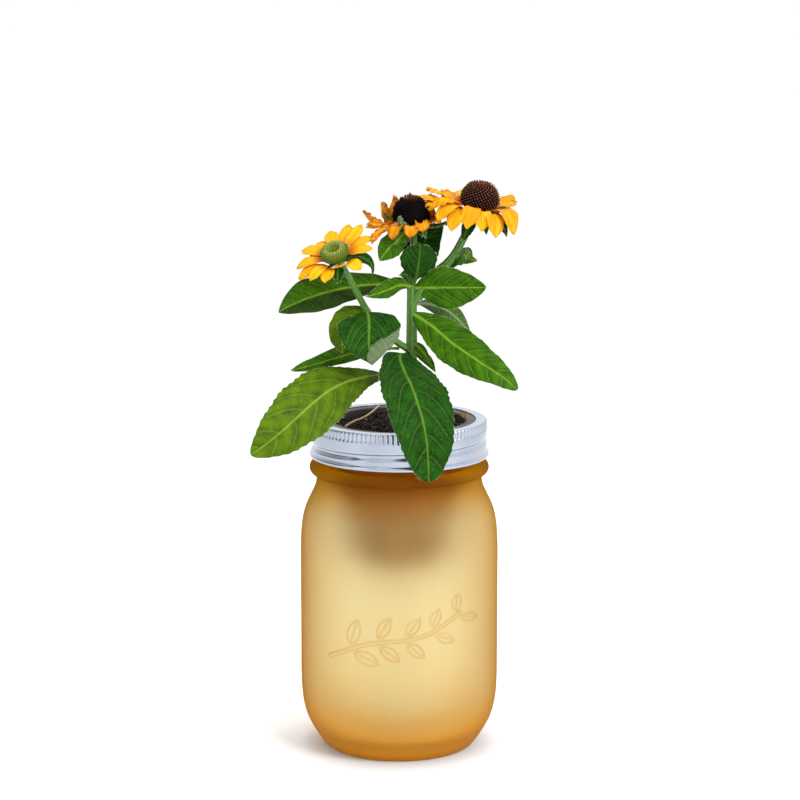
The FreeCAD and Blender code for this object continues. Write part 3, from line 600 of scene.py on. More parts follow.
peat, tree, skin = finish_named("moist_peat")
place = add(tree, "ShaderNodeTexCoord")
fleck = add(tree, "ShaderNodeTexNoise", {"Vector": place.outputs["Object"], "Scale": 1500.0, "Detail": 5.0})
chosen = add(tree, "ShaderNodeAttribute", attribute_name="tone")
ramp = add(tree, "ShaderNodeValToRGB", {"Fac": chosen.outputs["Fac"]})
ramp.color_ramp.elements[0].color = srgb("#120904")
ramp.color_ramp.elements[1].color = srgb("#9A7448")
for stop, code in ((0.35, "#22100A"), (0.6, "#46240F")):
    ramp.color_ramp.elements.new(stop).color = srgb(code)
tint = add(tree, "ShaderNodeMix", {"Factor": fleck.outputs["Fac"], "A": srgb("#0C0603"),
                                   "B": ramp.outputs["Color"]}, data_type="RGBA")
tree.links.new(tint.outputs["Result"], skin.inputs["Base Color"])
rough = add(tree, "ShaderNodeMapRange", {"Value": fleck.outputs["Fac"], "To Min": 0.55, "To Max": 0.95})
tree.links.new(rough.outputs["Result"], skin.inputs["Roughness"])
skin.inputs["Specular IOR Level"].default_value = 0.25
bump = add(tree, "ShaderNodeBump", {"Height": fleck.outputs["Fac"], "Strength": 0.8, "Distance": 0.0006})
tree.links.new(bump.outputs["Normal"], skin.inputs["Normal"])
mix = make_piece("peat_mix", parts, [peat], smooth=False)
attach(mix, "plug")
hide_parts("potting_mix")

# ---------------------------------------------------------------------------------------------
# Roots
# Pale young roots buried in the mix. The CAD shape stands; its skin is creamy, corky and matte.
root_skin, tree, skin = finish_named("root_skin")
place = add(tree, "ShaderNodeTexCoord")
cork = add(tree, "ShaderNodeTexNoise", {"Vector": place.outputs["Object"], "Scale": 800.0, "Detail": 4.0})
tint = add(tree, "ShaderNodeMix", {"Factor": cork.outputs["Fac"], "A": srgb("#B79A6C"),
                                   "B": srgb("#E2CFA6")}, data_type="RGBA")
tree.links.new(tint.outputs["Result"], skin.inputs["Base Color"])
bump = add(tree, "ShaderNodeBump", {"Height": cork.outputs["Fac"], "Strength": 0.5, "Distance": 0.0003})
tree.links.new(bump.outputs["Normal"], skin.inputs["Normal"])
skin.inputs["Roughness"].default_value = 0.8
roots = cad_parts["roots"]
roots.data.materials.clear()
roots.data.materials.append(root_skin)

# ---------------------------------------------------------------------------------------------
# Straw
# One dry stalk of grass dropped on the mix, leaning over the cup's flange at the back. Pale, hollow
# looking and slightly shiny, with fine ribs along it.
def sweep_tube(path, radii, sides, rows, ribs=0, rib_depth=0.0, squash=1.0, jitter=0.0):
    """Points and faces of a closed round stem along a smooth path, all in millimetres."""
    line = smooth_line(path, rows)
    run = np.gradient(line, axis=0)
    run /= np.linalg.norm(run, axis=1)[:, None]
    ref = np.array([0.13, 0.97, 0.2])
    u = np.cross(run, ref)
    u /= np.linalg.norm(u, axis=1)[:, None]
    v = np.cross(run, u)
    size = np.interp(np.linspace(0, 1, rows), np.linspace(0, 1, len(radii)), radii)
    a = np.linspace(0, 2 * math.pi, sides, endpoint=False)
    wobble = 1 + rib_depth * np.cos(a * ribs)
    ring = size[:, None] * wobble[None, :] * (1 + jitter * dice.standard_normal((rows, 1)))
    pts = line[:, None, :] + u[:, None, :] * (ring * np.cos(a))[..., None] + v[:, None, :] * (
        squash * ring * np.sin(a))[..., None]
    pts = np.concatenate([pts.reshape(-1, 3), line[:1], line[-1:]])
    faces = turn_grid(rows, sides)
    n = rows * sides
    faces += [(n, (j + 1) % sides, j) for j in range(sides)]
    faces += [(n + 1, n - sides + j, n - sides + (j + 1) % sides) for j in range(sides)]
    return pts, faces, line, run, u, v, size


straw_path = [(-26, -16, 162.9), (-22, -6, 163.3), (-17.5, 6, 163.0), (-13, 18, 163.8), (-9.5, 31, 164.9)]
pts, faces, *_ = sweep_tube(straw_path, [0.55, 0.62, 0.5, 0.6, 0.4], 14, 60, 6, 0.08, 0.75, 0.03)
straw_skin, tree, skin = finish_named("dry_grass_straw")
place = add(tree, "ShaderNodeTexCoord")
ribs = add(tree, "ShaderNodeTexNoise", {"Vector": place.outputs["Object"], "Scale": 500.0, "Detail": 4.0})
tint = add(tree, "ShaderNodeMix", {"Factor": ribs.outputs["Fac"], "A": srgb("#A88455"),
                                   "B": srgb("#E0C796")}, data_type="RGBA")
tree.links.new(tint.outputs["Result"], skin.inputs["Base Color"])
skin.inputs["Roughness"].default_value = 0.5
straw = make_piece("grass_straw", [{"v": pts, "f": faces}], [straw_skin])
settle(straw, "dry_straw")
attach(straw, "plug")
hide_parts("dry_straw")

# ---------------------------------------------------------------------------------------------
# Bark chip
# A curled flake of composted bark at the right edge. Split bark shows layered ridges, red-brown
# outside and paler along the broken edges.
def closed_pair(top, low):
    """Points and faces of a thin closed sheet from two grids of the same shape."""
    rows, cols = top.shape[:2]
    n = np.arange(rows * cols).reshape(rows, cols)
    quads = np.stack([n[:-1, :-1], n[:-1, 1:], n[1:, 1:], n[1:, :-1]], -1).reshape(-1, 4)
    rim = np.concatenate([n[0, :-1], n[:-1, -1], n[-1, :0:-1], n[:0:-1, 0]])
    after = np.roll(rim, -1)
    edge = np.stack([rim, n.size + rim, n.size + after, after], -1)
    return np.concatenate([top.reshape(-1, 3), low.reshape(-1, 3)]), np.concatenate(
        [quads, n.size + quads[:, ::-1], edge])


def on_both(grid):
    """One number per point for both faces of such a sheet."""
    return np.tile(grid.ravel(), 2)


rows, cols = 34, 14
chip_line = smooth_line([(29.5, 9, 164.2), (31.4, 3, 164.6), (32.4, -4, 164.1)], rows)
u, v = np.meshgrid(np.linspace(0, 1, rows), np.linspace(-1, 1, cols), indexing="ij")
half = 2.1 * np.sin(math.pi * (0.12 + 0.8 * u)) ** 0.7 * (1 + 0.12 * np.sin(u * 31) + 0.08 * np.sin(u * 67))
ridge = 0.12 * np.sin(v * 9 + u * 2) + 0.06 * np.sin(v * 21 + u * 7)
body = 0.34 * (1 - v ** 4) + 0.05
flat = chip_line[:, None, :] + np.stack([0.93 * v * half, 0.3 * v * half, 0.55 * v * v], -1)
rise = np.array([0, 0, 1.0])
pts, faces = closed_pair(flat + (body + ridge)[..., None] * rise, flat - body[..., None] * rise)
tone = on_both(0.2 + 0.64 * (np.abs(v) > 0.86))
bark, tree, skin = finish_named("composted_bark")
place = add(tree, "ShaderNodeTexCoord")
layer = add(tree, "ShaderNodeTexNoise", {"Vector": place.outputs["Object"], "Scale": 700.0, "Detail": 5.0})
worn = add(tree, "ShaderNodeAttribute", attribute_name="tone")
both = add(tree, "ShaderNodeMath", {0: layer.outputs["Fac"], 1: worn.outputs["Fac"]}, operation="MULTIPLY")
ramp = add(tree, "ShaderNodeValToRGB", {"Fac": both.outputs["Value"]})
ramp.color_ramp.elements[0].color = srgb("#4A2410")
ramp.color_ramp.elements[1].color = srgb("#C99A63")
ramp.color_ramp.elements[1].position = 0.5
tree.links.new(ramp.outputs["Color"], skin.inputs["Base Color"])
bump = add(tree, "ShaderNodeBump", {"Height": layer.outputs["Fac"], "Strength": 0.7, "Distance": 0.0005})
tree.links.new(bump.outputs["Normal"], skin.inputs["Normal"])
skin.inputs["Roughness"].default_value = 0.8
chip = make_piece("bark_chip", [{"v": pts, "f": faces, "tone": tone}], [bark])
settle(chip, "wood_chip")
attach(chip, "plug")
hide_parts("wood_chip")

# ---------------------------------------------------------------------------------------------
# Stalks
# Soft green herb stems, ribbed lengthways and covered in fine white hairs. The flower stalks fork
# off the main stem and taper a little.
def hairs(roots, ways, length, radius=0.045):
    """Fine three-sided hairs, one from each root along its way, in millimetres."""
    roots, ways = np.asarray(roots), np.asarray(ways)
    ways = ways + 0.45 * dice.standard_normal(ways.shape)
    ways /= np.linalg.norm(ways, axis=1)[:, None]
    size = length * dice.uniform(0.5, 1.15, len(roots))[:, None]
    side = np.cross(ways, dice.standard_normal(ways.shape))
    side /= np.linalg.norm(side, axis=1)[:, None]
    other = np.cross(ways, side)
    ring = [roots - 0.1 * ways + radius * (side * math.cos(a) + other * math.sin(a)) for a in (0, 2.1, 4.2)]
    bend = 0.25 * size * side
    tips = roots + ways * size + bend
    mids = [roots + ways * size * 0.55 + bend * 0.3 + 0.7 * (p - roots + 0.1 * ways) for p in ring]
    v = np.stack(ring + mids + [tips], 1).reshape(-1, 3)
    f = []
    for k in range(len(roots)):
        s = 7 * k
        for a, b in ((0, 1), (1, 2), (2, 0)):
            f += [(s + a, s + b, s + 3 + b, s + 3 + a), (s + 3 + a, s + 3 + b, s + 6)]
    return {"v": v, "f": f, "m": 1}


def stem(path, r_start, r_end, fuzz=5.0, ribs=7):
    """A ribbed, hairy stem: the tube itself and its hairs. fuzz is hairs per millimetre."""
    rows = 90
    v, f, line, run, a, b, size = sweep_tube(path, [r_start, r_end], 28, rows, ribs, 0.07, 1.0, 0.006)
    length = np.linalg.norm(np.diff(line, axis=0), axis=1).sum()
    count = int(length * fuzz)
    k = dice.integers(2, rows - 2, count)
    turn = dice.uniform(0, 2 * math.pi, count)
    out = a[k] * np.cos(turn)[:, None] + b[k] * np.sin(turn)[:, None]
    rib = np.tile(np.cos(np.linspace(0, 2 * math.pi, 28, endpoint=False) * ribs), rows)
    tube = {"v": v, "f": f, "rib": np.concatenate([rib, [0, 0]])}
    return [tube, hairs(line[k] + out * size[k][:, None] * 0.96, out, 1.1, 0.03)]


stem_skin, tree, skin = finish_named("green_stem_skin")
place = add(tree, "ShaderNodeTexCoord")
rib = add(tree, "ShaderNodeAttribute", attribute_name="rib")
cloud = add(tree, "ShaderNodeTexNoise", {"Vector": place.outputs["Object"], "Scale": 260.0, "Detail": 4.0})
ridge = add(tree, "ShaderNodeMapRange", {"Value": rib.outputs["Fac"], "From Min": -1.0, "From Max": 1.0})
tint = add(tree, "ShaderNodeMix", {"Factor": ridge.outputs["Result"], "A": srgb("#1C4E00"),
                                   "B": srgb("#628E22")}, data_type="RGBA")
mottle = add(tree, "ShaderNodeMix", {"Factor": cloud.outputs["Fac"], "A": tint.outputs["Result"],
                                     "B": srgb("#3A6C14")}, data_type="RGBA")
tree.links.new(mottle.outputs["Result"], skin.inputs["Base Color"])
bump = add(tree, "ShaderNodeBump", {"Height": cloud.outputs["Fac"], "Strength": 0.35, "Distance": 0.0002})
tree.links.new(bump.outputs["Normal"], skin.inputs["Normal"])
skin.inputs["Roughness"].default_value = 0.5
skin.inputs["Subsurface Weight"].default_value = 0.25
skin.inputs["Subsurface Radius"].default_value = (0.0006, 0.0012, 0.0004)
skin.inputs["Subsurface Scale"].default_value = 1.0

hair_skin, tree, skin = finish_named("white_plant_hair")
place = add(tree, "ShaderNodeTexCoord")
vary = add(tree, "ShaderNodeTexNoise", {"Vector": place.outputs["Object"], "Scale": 700.0})
tint = add(tree, "ShaderNodeMix", {"Factor": vary.outputs["Fac"], "A": srgb("#A9B98A"),
                                   "B": srgb("#E4EAD2")}, data_type="RGBA")
tree.links.new(tint.outputs["Result"], skin.inputs["Base Color"])
skin.inputs["Roughness"].default_value = 0.4
skin.inputs["Sheen Weight"].default_value = 0.4

stems = {
    "main_stem": ([(3, 2, 152), (4.8, 1, 172), (6, 0, 195), (6.2, 0, 212), (6.2, 0, 230)], 3.2, 2.3),
    "left_flower_stalk": ([(5, 0, 197.5), (-5, -3, 205), (-15, -6, 217), (-21, -9, 228.5),
                           (-28.6, -12.6, 243.4)], 1.7, 1.4),
    "middle_flower_stalk": ([(6.2, 0, 230), (7.2, 0.6, 245), (6.4, 1, 258)], 1.9, 1.6),
    "right_flower_stalk": ([(6.2, 0, 219), (10.4, -1, 227), (15, -0.8, 233.5), (24, 0.5, 241), (30, 1, 250),
                            (35.8, 1, 262)], 2.1, 1.8),
}
for node, (path, r_start, r_end) in stems.items():
    piece = make_piece("hairy_" + node, stem(path, r_start, r_end), [stem_skin, hair_skin])
    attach(piece, "plug")
    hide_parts(node)

# ---------------------------------------------------------------------------------------------
# Leaves
# Broad soft leaves with a sunken midrib, side veins that arch forward, puckered fields between
# them and a hairy margin. Light ones are young or seen with light coming through.
def leaf(rib, side, half, widest=0.42, cup=0.12, base=1.0, tip=0.15, swell=1.0, blunt=0.85, veins=6,
         wave=0.5, teeth=0.0, fuzz=1.0, thick=0.5, rows=300, cols=81, dark_half=0.0, turned_tip=0.0):
    """Closed leaf on its midrib, with marks for veins and its own flat coordinates, and its hairs."""
    if isinstance(side[0], (int, float)):
        side = (side, side)
    t = np.linspace(0, 1, rows)
    line = smooth_line(rib, t)
    run = np.gradient(line, axis=0)
    run /= np.linalg.norm(run, axis=1)[:, None]
    across = np.outer(1 - t, side[0]) + np.outer(t, side[1])
    across -= run * (across * run).sum(1)[:, None]
    across /= np.linalg.norm(across, axis=1)[:, None]
    normal = np.cross(run, across)
    upper = 1.0 if (normal @ [0, -0.6, 0.8]).mean() > 0 else -1.0
    share = np.where(t < widest, np.sin(np.pi / 2 * t / widest) ** swell,
                     np.clip(np.cos(np.pi / 2 * (t - widest) / (1 - widest)), 0, 1) ** blunt)
    w = np.maximum(half * share, np.where(t < widest, base, tip))
    span = np.linalg.norm(np.diff(line, axis=0), axis=1).sum()
    v = np.linspace(-1, 1, cols)
    T, U = np.meshgrid(t, v, indexing="ij")
    W = np.repeat(w[:, None], cols, 1)
    saw = np.abs(((T * span / 4.2) % 1) - 0.5) * 2
    phase = dice.uniform(0, 6.28, 4)
    X = U * W * (1 - teeth * saw * np.abs(U) ** 6 * (T > 0.15))
    s = T * span
    gap = span * 0.86 / veins
    # a side vein starts at the midrib and bends forward as it runs out
    lean = s - np.abs(X) * 0.55 - 0.085 * X * X
    place = lean / gap + 0.35 * (X < 0) + 0.10 * np.sin(s / 5 + phase[3] + 3 * (X < 0))
    near = np.abs(place - np.round(place)) * gap
    inside = (np.abs(U) < 0.93) & (place > 0.4)
    fade_out = np.clip((0.93 - np.abs(U)) / 0.25, 0, 1) ** 0.5
    side_vein = np.exp(-(near / (0.26 + 0.03 * np.abs(X))) ** 2) * inside * fade_out
    mid = np.exp(-(X / (0.28 + 0.5 * (1 - T))) ** 2)
    vein = np.clip(np.maximum(mid, 0.42 * side_vein), 0, 1)
    pucker = 0.5 - 0.5 * np.cos(2 * np.pi * place)
    lift = cup * W * np.abs(U) ** 1.5
    lift += upper * 0.35 * pucker * np.clip(W / 8, 0, 1) * (1 - U ** 4) * inside
    lift -= upper * (0.45 * mid + 0.18 * side_vein)
    ripple = np.sin(T * 11 + phase[0] + 2 * (U > 0)) + 0.5 * np.sin(T * 23 + phase[1])
    lift += wave * (np.abs(U) ** 2.5) * ripple
    past_fold = T + 0.36 * U - 0.76 + 0.02 * np.sin(U * 7) + 0.012 * np.sin(U * 19)
    lift += turned_tip * upper * (1.1 * np.exp(-(past_fold / 0.022) ** 2) - 6.0 * np.clip(past_fold, 0, 1))
    X = X * (1 + 0.02 * np.sin(T * 37 + phase[2]) * np.abs(U) ** 3)
    body = 0.5 * thick * (1 - 0.55 * np.abs(U) ** 4) * (1 + 1.4 * mid * (1 - T))
    mid_face = line[:, None, :] + across[:, None, :] * X[..., None] + normal[:, None, :] * lift[..., None]
    off = upper * normal[:, None, :] * body[..., None]
    pts, faces = closed_pair(mid_face + off, mid_face - off * (1 + 0.8 * vein[..., None]))
    if upper > 0:
        faces = faces[:, ::-1]
    blade = {"v": pts, "f": faces, "vein": on_both(vein), "flat_x": on_both(X), "flat_y": on_both(s),
             "edge": on_both(np.abs(U)), "pucker": on_both(pucker)}
    # a folded-up tip shows its underside, and a folded-down half lies in its own shade
    bent = turned_tip * np.clip(past_fold / 0.03, 0, 1)
    blade["under"] = np.concatenate([bent.ravel(), np.ones(rows * cols)])
    blade["shade"] = on_both(dark_half * np.clip((-U - 0.05) / 0.12, 0, 1))
    out = [blade]
    if fuzz:
        for e, sign in ((0, -1), (cols - 1, 1)):
            k = dice.integers(2, rows - 1, int(span * 2.6 * fuzz))
            out.append(hairs(mid_face[k, e], sign * across[k] + 0.3 * run[k], 0.9, 0.04))
        k, j = dice.integers(2, rows - 1, int(span * 3 * fuzz)), dice.integers(1, cols - 1,
                                                                               int(span * 3 * fuzz))
        out.append(hairs(mid_face[k, j] + off[k, j], upper * normal[k] + 0.5 * run[k], 0.5, 0.022))
    return out


def leaf_skin(name, deep, bright, pale, under, glow=0.2):
    """Leaf material: mottled green, pale veins with a fine net between them, and a duller underside."""
    made, tree, skin = finish_named(name)
    fx = add(tree, "ShaderNodeAttribute", attribute_name="flat_x")
    fy = add(tree, "ShaderNodeAttribute", attribute_name="flat_y")
    vein = add(tree, "ShaderNodeAttribute", attribute_name="vein")
    below = add(tree, "ShaderNodeAttribute", attribute_name="under")
    puff = add(tree, "ShaderNodeAttribute", attribute_name="pucker")
    flat = add(tree, "ShaderNodeCombineXYZ", {"X": fx.outputs["Fac"], "Y": fy.outputs["Fac"]})
    cloud = add(tree, "ShaderNodeTexNoise", {"Vector": flat.outputs["Vector"], "Scale": 0.16,
                                             "Detail": 4.0})
    grain = add(tree, "ShaderNodeTexNoise", {"Vector": flat.outputs["Vector"], "Scale": 2.2, "Detail": 3.0})
    # the net of small veins has cells of 0.5 to 1 mm; it is drawn at 1.3 mm so that it shows
    net = add(tree, "ShaderNodeTexVoronoi", {"Vector": flat.outputs["Vector"], "Scale": 0.75},
              feature="DISTANCE_TO_EDGE")
    thread = add(tree, "ShaderNodeMapRange", {"Value": net.outputs["Distance"], "From Min": 0.0,
                                              "From Max": 0.09, "To Min": 1.0, "To Max": 0.0})
    # painted light: the puckered fields between the side veins are coloured lighter where they bulge and
    # darker in the dips; the cloud mottle is the leaf's own
    light = add(tree, "ShaderNodeMath", {0: puff.outputs["Fac"], 1: 0.22, 2: cloud.outputs["Fac"]},
                operation="MULTIPLY_ADD")
    level = add(tree, "ShaderNodeMapRange", {"Value": light.outputs["Value"], "From Min": 0.36,
                                             "From Max": 0.86})
    tint = add(tree, "ShaderNodeMix", {"Factor": level.outputs["Result"], "A": srgb(deep),
                                       "B": srgb(bright)}, data_type="RGBA")
    soft = add(tree, "ShaderNodeMath", {0: thread.outputs["Result"], 1: 0.15}, operation="MULTIPLY")
    netted = add(tree, "ShaderNodeMix", {"Factor": soft.outputs["Value"], "A": tint.outputs["Result"],
                                         "B": srgb(pale)}, data_type="RGBA")
    strong = add(tree, "ShaderNodeMath", {0: vein.outputs["Fac"], 1: 0.72}, operation="MULTIPLY")
    veined = add(tree, "ShaderNodeMix", {"Factor": strong.outputs["Value"], "A": netted.outputs["Result"],
                                         "B": srgb(pale)}, data_type="RGBA")
    wool = add(tree, "ShaderNodeMapRange", {"Value": grain.outputs["Fac"], "From Min": 0.36,
                                            "From Max": 0.62})
    woolly = add(tree, "ShaderNodeMix", {"Factor": wool.outputs["Result"], "A": tint.outputs["Result"],
                                         "B": srgb(under)}, data_type="RGBA")
    dull = add(tree, "ShaderNodeMath", {0: below.outputs["Fac"], 1: 0.85}, operation="MULTIPLY")
    turned = add(tree, "ShaderNodeMix", {"Factor": dull.outputs["Value"], "A": veined.outputs["Result"],
                                         "B": woolly.outputs["Result"]}, data_type="RGBA")
    shaded = add(tree, "ShaderNodeAttribute", attribute_name="shade")
    both = add(tree, "ShaderNodeMix", {"Factor": shaded.outputs["Fac"], "A": turned.outputs["Result"],
                                       "B": srgb("#16260A")}, data_type="RGBA")
    tree.links.new(both.outputs["Result"], skin.inputs["Base Color"])
    height = add(tree, "ShaderNodeMath", {0: grain.outputs["Fac"], 1: thread.outputs["Result"]},
                 operation="SUBTRACT")
    bump = add(tree, "ShaderNodeBump", {"Height": height.outputs["Value"], "Strength": 0.5,
                                        "Distance": 0.0002})
    tree.links.new(bump.outputs["Normal"], skin.inputs["Normal"])
    rough = add(tree, "ShaderNodeMapRange", {"Value": grain.outputs["Fac"], "To Min": 0.42, "To Max": 0.62})
    tree.links.new(rough.outputs["Result"], skin.inputs["Roughness"])
    skin.inputs["Specular IOR Level"].default_value = 0.08
    lit = add(tree, "ShaderNodeBsdfTranslucent", {"Color": both.outputs["Result"]})
    blend = add(tree, "ShaderNodeMixShader", {0: glow, 1: skin.outputs["BSDF"], 2: lit.outputs["BSDF"]})
    tree.links.new(blend.outputs["Shader"], tree.nodes["Material Output"].inputs["Surface"])
    return made


deep_leaf = leaf_skin("deep_green_leaf", "#032400", "#124C00", "#6E9C30", "#8C9A78", 0.06)
mid_leaf = leaf_skin("mid_green_leaf", "#163E00", "#3C6C00", "#88B234", "#45701F", 0.08)
light_leaf = leaf_skin("young_yellow_green_leaf", "#2E4C00", "#587600", "#98B444", "#5C7A30", 0.12)
grey_leaf = leaf_skin("grey_hairy_leaf", "#264408", "#4C7018", "#A8B890", "#3E5628", 0.08)
dark_leaf = leaf_skin("shaded_green_leaf", "#031E00", "#104200", "#4E7C22", "#2A5418", 0.06)

leaves = {
    "lower_left_leaf": (light_leaf, dict(
        rib=[(2, -1, 184), (-7, -4, 186.5), (-14, -10, 187.2), (-23, -17, 186.3), (-36, -31, 182),
             (-46, -42, 175), (-58, -50, 165), (-70.5, -53, 155.5)],
        side=((0.6, -0.6, -0.5), (0.72, 0.15, -0.68)), half=15.2, widest=0.62, cup=0.06, base=1.3,
        swell=1.35, blunt=0.62, veins=6, wave=0.8, teeth=0.05)),
    "front_leaf": (deep_leaf, dict(
        rib=[(3.5, -1, 196.5), (0.5, -6, 197), (1, -16, 192.8), (5, -31, 187.2), (8.6, -42.5, 179.6),
             (11.7, -48.5, 170), (13.6, -50.5, 158), (14.2, -50, 142.6)],
        side=((0.9, 0.5, 0), (1, 0.1, 0)), half=17.0, widest=0.5, cup=0.08, base=1.6, swell=0.75, blunt=0.5,
        veins=6, wave=0.5, teeth=0.04)),
    "right_leaf": (mid_leaf, dict(
        rib=[(6, -1, 216), (16, -8, 210.5), (24.5, -16, 204.5), (33.5, -24, 199.3), (43.5, -31, 193.7),
             (52, -35, 188.5), (57.2, -36, 183.8)],
        side=(-0.35, -0.5, -0.75), half=10.4, widest=0.45, cup=0.08, base=1.2, swell=0.6, blunt=0.6,
        veins=6, wave=0.7, teeth=0.03)),
    "upper_right_leaf": (mid_leaf, dict(
        rib=[(7, -1, 228.5), (14, -3, 229), (28, -9, 230), (42, -12, 230.4)], side=(0, -0.25, 1), half=11.6,
        widest=0.45, cup=0.08, base=1.0, swell=0.75, blunt=0.7, veins=4, wave=0.3)),
    "left_long_leaf": (mid_leaf, dict(
        rib=[(4.8, 0, 229), (-7, 2, 229.8), (-24, 1, 228.5), (-38, -3, 225.6), (-49.5, -6, 221.5),
             (-58.5, -6, 216.5)],
        side=((0, 0.5, 0.85), (0.1, 0.55, 0.85)), half=9.6, widest=0.7, cup=-0.22, base=1.2, blunt=0.7,
        veins=6, wave=0.5, fuzz=2.0, dark_half=0.75)),
    "left_mid_leaf": (mid_leaf, dict(
        rib=[(6, -1.5, 229), (0.5, -6, 230.6), (-4.5, -11, 229.4), (-10, -15, 227.8), (-16, -18, 226)],
        side=(0, -0.3, 0.95), half=5.6, widest=0.45, cup=0.10, base=0.9, veins=4, wave=0.3)),
    "heart_leaf": (deep_leaf, dict(
        rib=[(-15.5, -9.5, 218), (-14.5, -17, 214.5), (-14.5, -24, 206), (-13.5, -30, 194.5)],
        side=(1, 0, 0), half=16.0, widest=0.42, cup=0.12, base=1.6, tip=1.0, swell=0.8,
        veins=5, wave=0.5, turned_tip=1.0)),
    "heart_back_leaf": (light_leaf, dict(
        rib=[(-14, -4, 219), (-22, -7, 213), (-28, -10, 205), (-28, -12, 198)], side=(-0.75, 0.2, 0.6),
        half=10.0, widest=0.45, cup=0.10, base=1.0, veins=4, wave=0.3)),
    "small_left_leaf": (mid_leaf, dict(
        rib=[(0, 1, 198.5), (-14, -2, 198.6), (-24, -5, 197), (-38, -9, 193), (-52.5, -12, 189)],
        side=(0.1, -0.3, 0.95), half=5.6, widest=0.6, cup=0.12, base=0.9, veins=5, wave=0.6, fuzz=2.0)),
    "crown_leaf": (dark_leaf, dict(
        rib=[(8, 2, 233), (9, 5, 243), (14, 8, 252), (22, 10, 258)], side=(0.85, 0, -0.5), half=9.5,
        widest=0.5, cup=0.10, veins=4, wave=0.4, fuzz=1.5)),
    "crown_front_leaf": (dark_leaf, dict(
        rib=[(7.6, -3.2, 232), (8.6, -7.5, 237.5), (9.6, -10, 244), (10.2, -10.5, 252)], side=(1, 0.15, 0),
        half=10.0, widest=0.62, cup=0.12, blunt=0.6, veins=5, wave=0.6, fuzz=2.0)),
    "grey_back_leaf": (grey_leaf, dict(
        rib=[(8, 2, 221), (20, 7, 218), (28, 11, 212), (35, 14, 204)], side=(0.4, 0.5, 0.8), half=5.5,
        widest=0.5, cup=0.1, veins=4, wave=0.5, fuzz=2.0)),
}
for node, (skin_used, shape) in leaves.items():
    piece = make_piece("veined_" + node, leaf(**shape), [skin_used, hair_skin])
    settle(piece, node)
    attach(piece, "plug")
    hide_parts(node)

# ---------------------------------------------------------------------------------------------
# Leaflets, bracts and the bud shoot
# Small green leaves under each flower, in the crown and on the stem. They are thick and hairy, with
# one clear midrib.
small = dict(rows=70, cols=25, veins=3, wave=0.2, base=0.8)
groups = {
    "crown_bracts": (dark_leaf, [
        dict(rib=[(5, -2.6, 231), (3, -7, 236), (0, -11, 236)], side=(0.3, 0.2, 0.9), half=2.6),
        dict(rib=[(7.6, -2.6, 232), (9.5, -6, 237), (10.5, -8, 241)], side=(0.9, 0.3, -0.3), half=2.4)]),
    "stem_leaflets": (mid_leaf, [
        dict(rib=[(6, -1, 203), (11, -4, 199), (15, -6, 193)], side=(0.7, 0.2, 0.7), half=2.4),
        dict(rib=[(6, 1, 198), (13, -1, 194.5), (18, -5, 188)], side=(0.7, 0.3, 0.65), half=2.6),
        dict(rib=[(3, -1.5, 180), (-4, -5, 182), (-8.5, -8, 181), (-7.5, -8.5, 176)], side=(0.8, -0.3, 0.3),
             half=1.8)]),
    "left_flower_bracts": (dark_leaf, [
        dict(rib=[(-30, -14, 243), (-35, -17, 240), (-38, -19, 234)], side=(0.7, 0.2, 0.5), half=3.4),
        dict(rib=[(-28.5, -14.5, 242), (-29, -18, 239), (-29, -20, 233)], side=(1, 0, 0), half=2.8),
        dict(rib=[(-27, -12.5, 243), (-19, -10, 245), (-13, -9, 241), (-12, -9, 236)],
             side=(0.3, 0.6, 0.75), half=3.2, widest=0.35),
        dict(rib=[(-30, -11, 244.5), (-37, -7, 246), (-43, -5, 245)], side=(0.1, 0.8, 0.4), half=3.0)]),
    "middle_flower_leaves": (mid_leaf, [
        dict(rib=[(6, -1, 254), (-1, -5, 252), (-10, -7, 242)], side=(0.7, -0.2, -0.6), half=6.0,
             widest=0.6, rows=120, cols=41, veins=4),
        dict(rib=[(5.5, -2, 258), (2, -7, 256), (-2.5, -9.5, 250.5)], side=(0.6, -0.1, -0.7), half=3.6,
             widest=0.5)]),
    "middle_flower_bracts": (deep_leaf, [
        dict(rib=[(4, -2, 258), (0, -8, 260), (-1, -11, 265)], side=(0.95, -0.2, 0.1), half=2.2),
        dict(rib=[(8, -2, 258), (10, -8, 257), (12, -12, 254)], side=(0.9, 0.3, 0.3), half=2.4),
        dict(rib=[(9, 2, 258), (17, 3, 258), (24, 3, 260)], side=(0, 1, 0.2), half=2.6),
        dict(rib=[(3.5, 3, 258), (-4, 7, 259), (-9, 9, 264)], side=(0.3, 0.9, 0.2), half=2.4)]),
    "right_flower_bracts": (dark_leaf, [
        dict(rib=[(35, 1.5, 266), (27, 4, 265.5), (18.5, 5, 264.5)], side=(0, 0.8, 0.6), half=3.2),
        dict(rib=[(34.5, 0, 265.5), (28, -3, 263.5), (22, -6, 260)], side=(0.3, 0.7, 0.5), half=2.8),
        dict(rib=[(36, -2, 264.5), (33, -6, 259), (30.5, -8, 252)], side=(0.9, 0.2, -0.3), half=3.4),
        dict(rib=[(39, -2, 265.5), (41, -8, 262), (42, -10, 255.5)], side=(1, 0, 0.1), half=2.6),
        dict(rib=[(42, -1, 266), (49, -5, 261), (52, -7, 254)], side=(0.8, 0.4, 0.4), half=2.8),
        dict(rib=[(43, 1, 266.5), (51, 0, 267), (57, -1, 264)], side=(0, 1, 0.1), half=2.2)]),
}
for node, (skin_used, shapes) in groups.items():
    parts = [p for shape in shapes for p in leaf(**{**small, **shape})]
    piece = make_piece("hairy_" + node, parts, [skin_used, hair_skin])
    settle(piece, node)
    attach(piece, "plug")
    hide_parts(node)


def axes(axis):
    """Unit axis and the two directions square to it, the first of them towards +X."""
    n = np.array(axis, float)
    n /= np.linalg.norm(n)
    u = np.array([1.0, 0, 0]) - n * n[0]
    u /= np.linalg.norm(u)
    return n, u, np.cross(n, u)


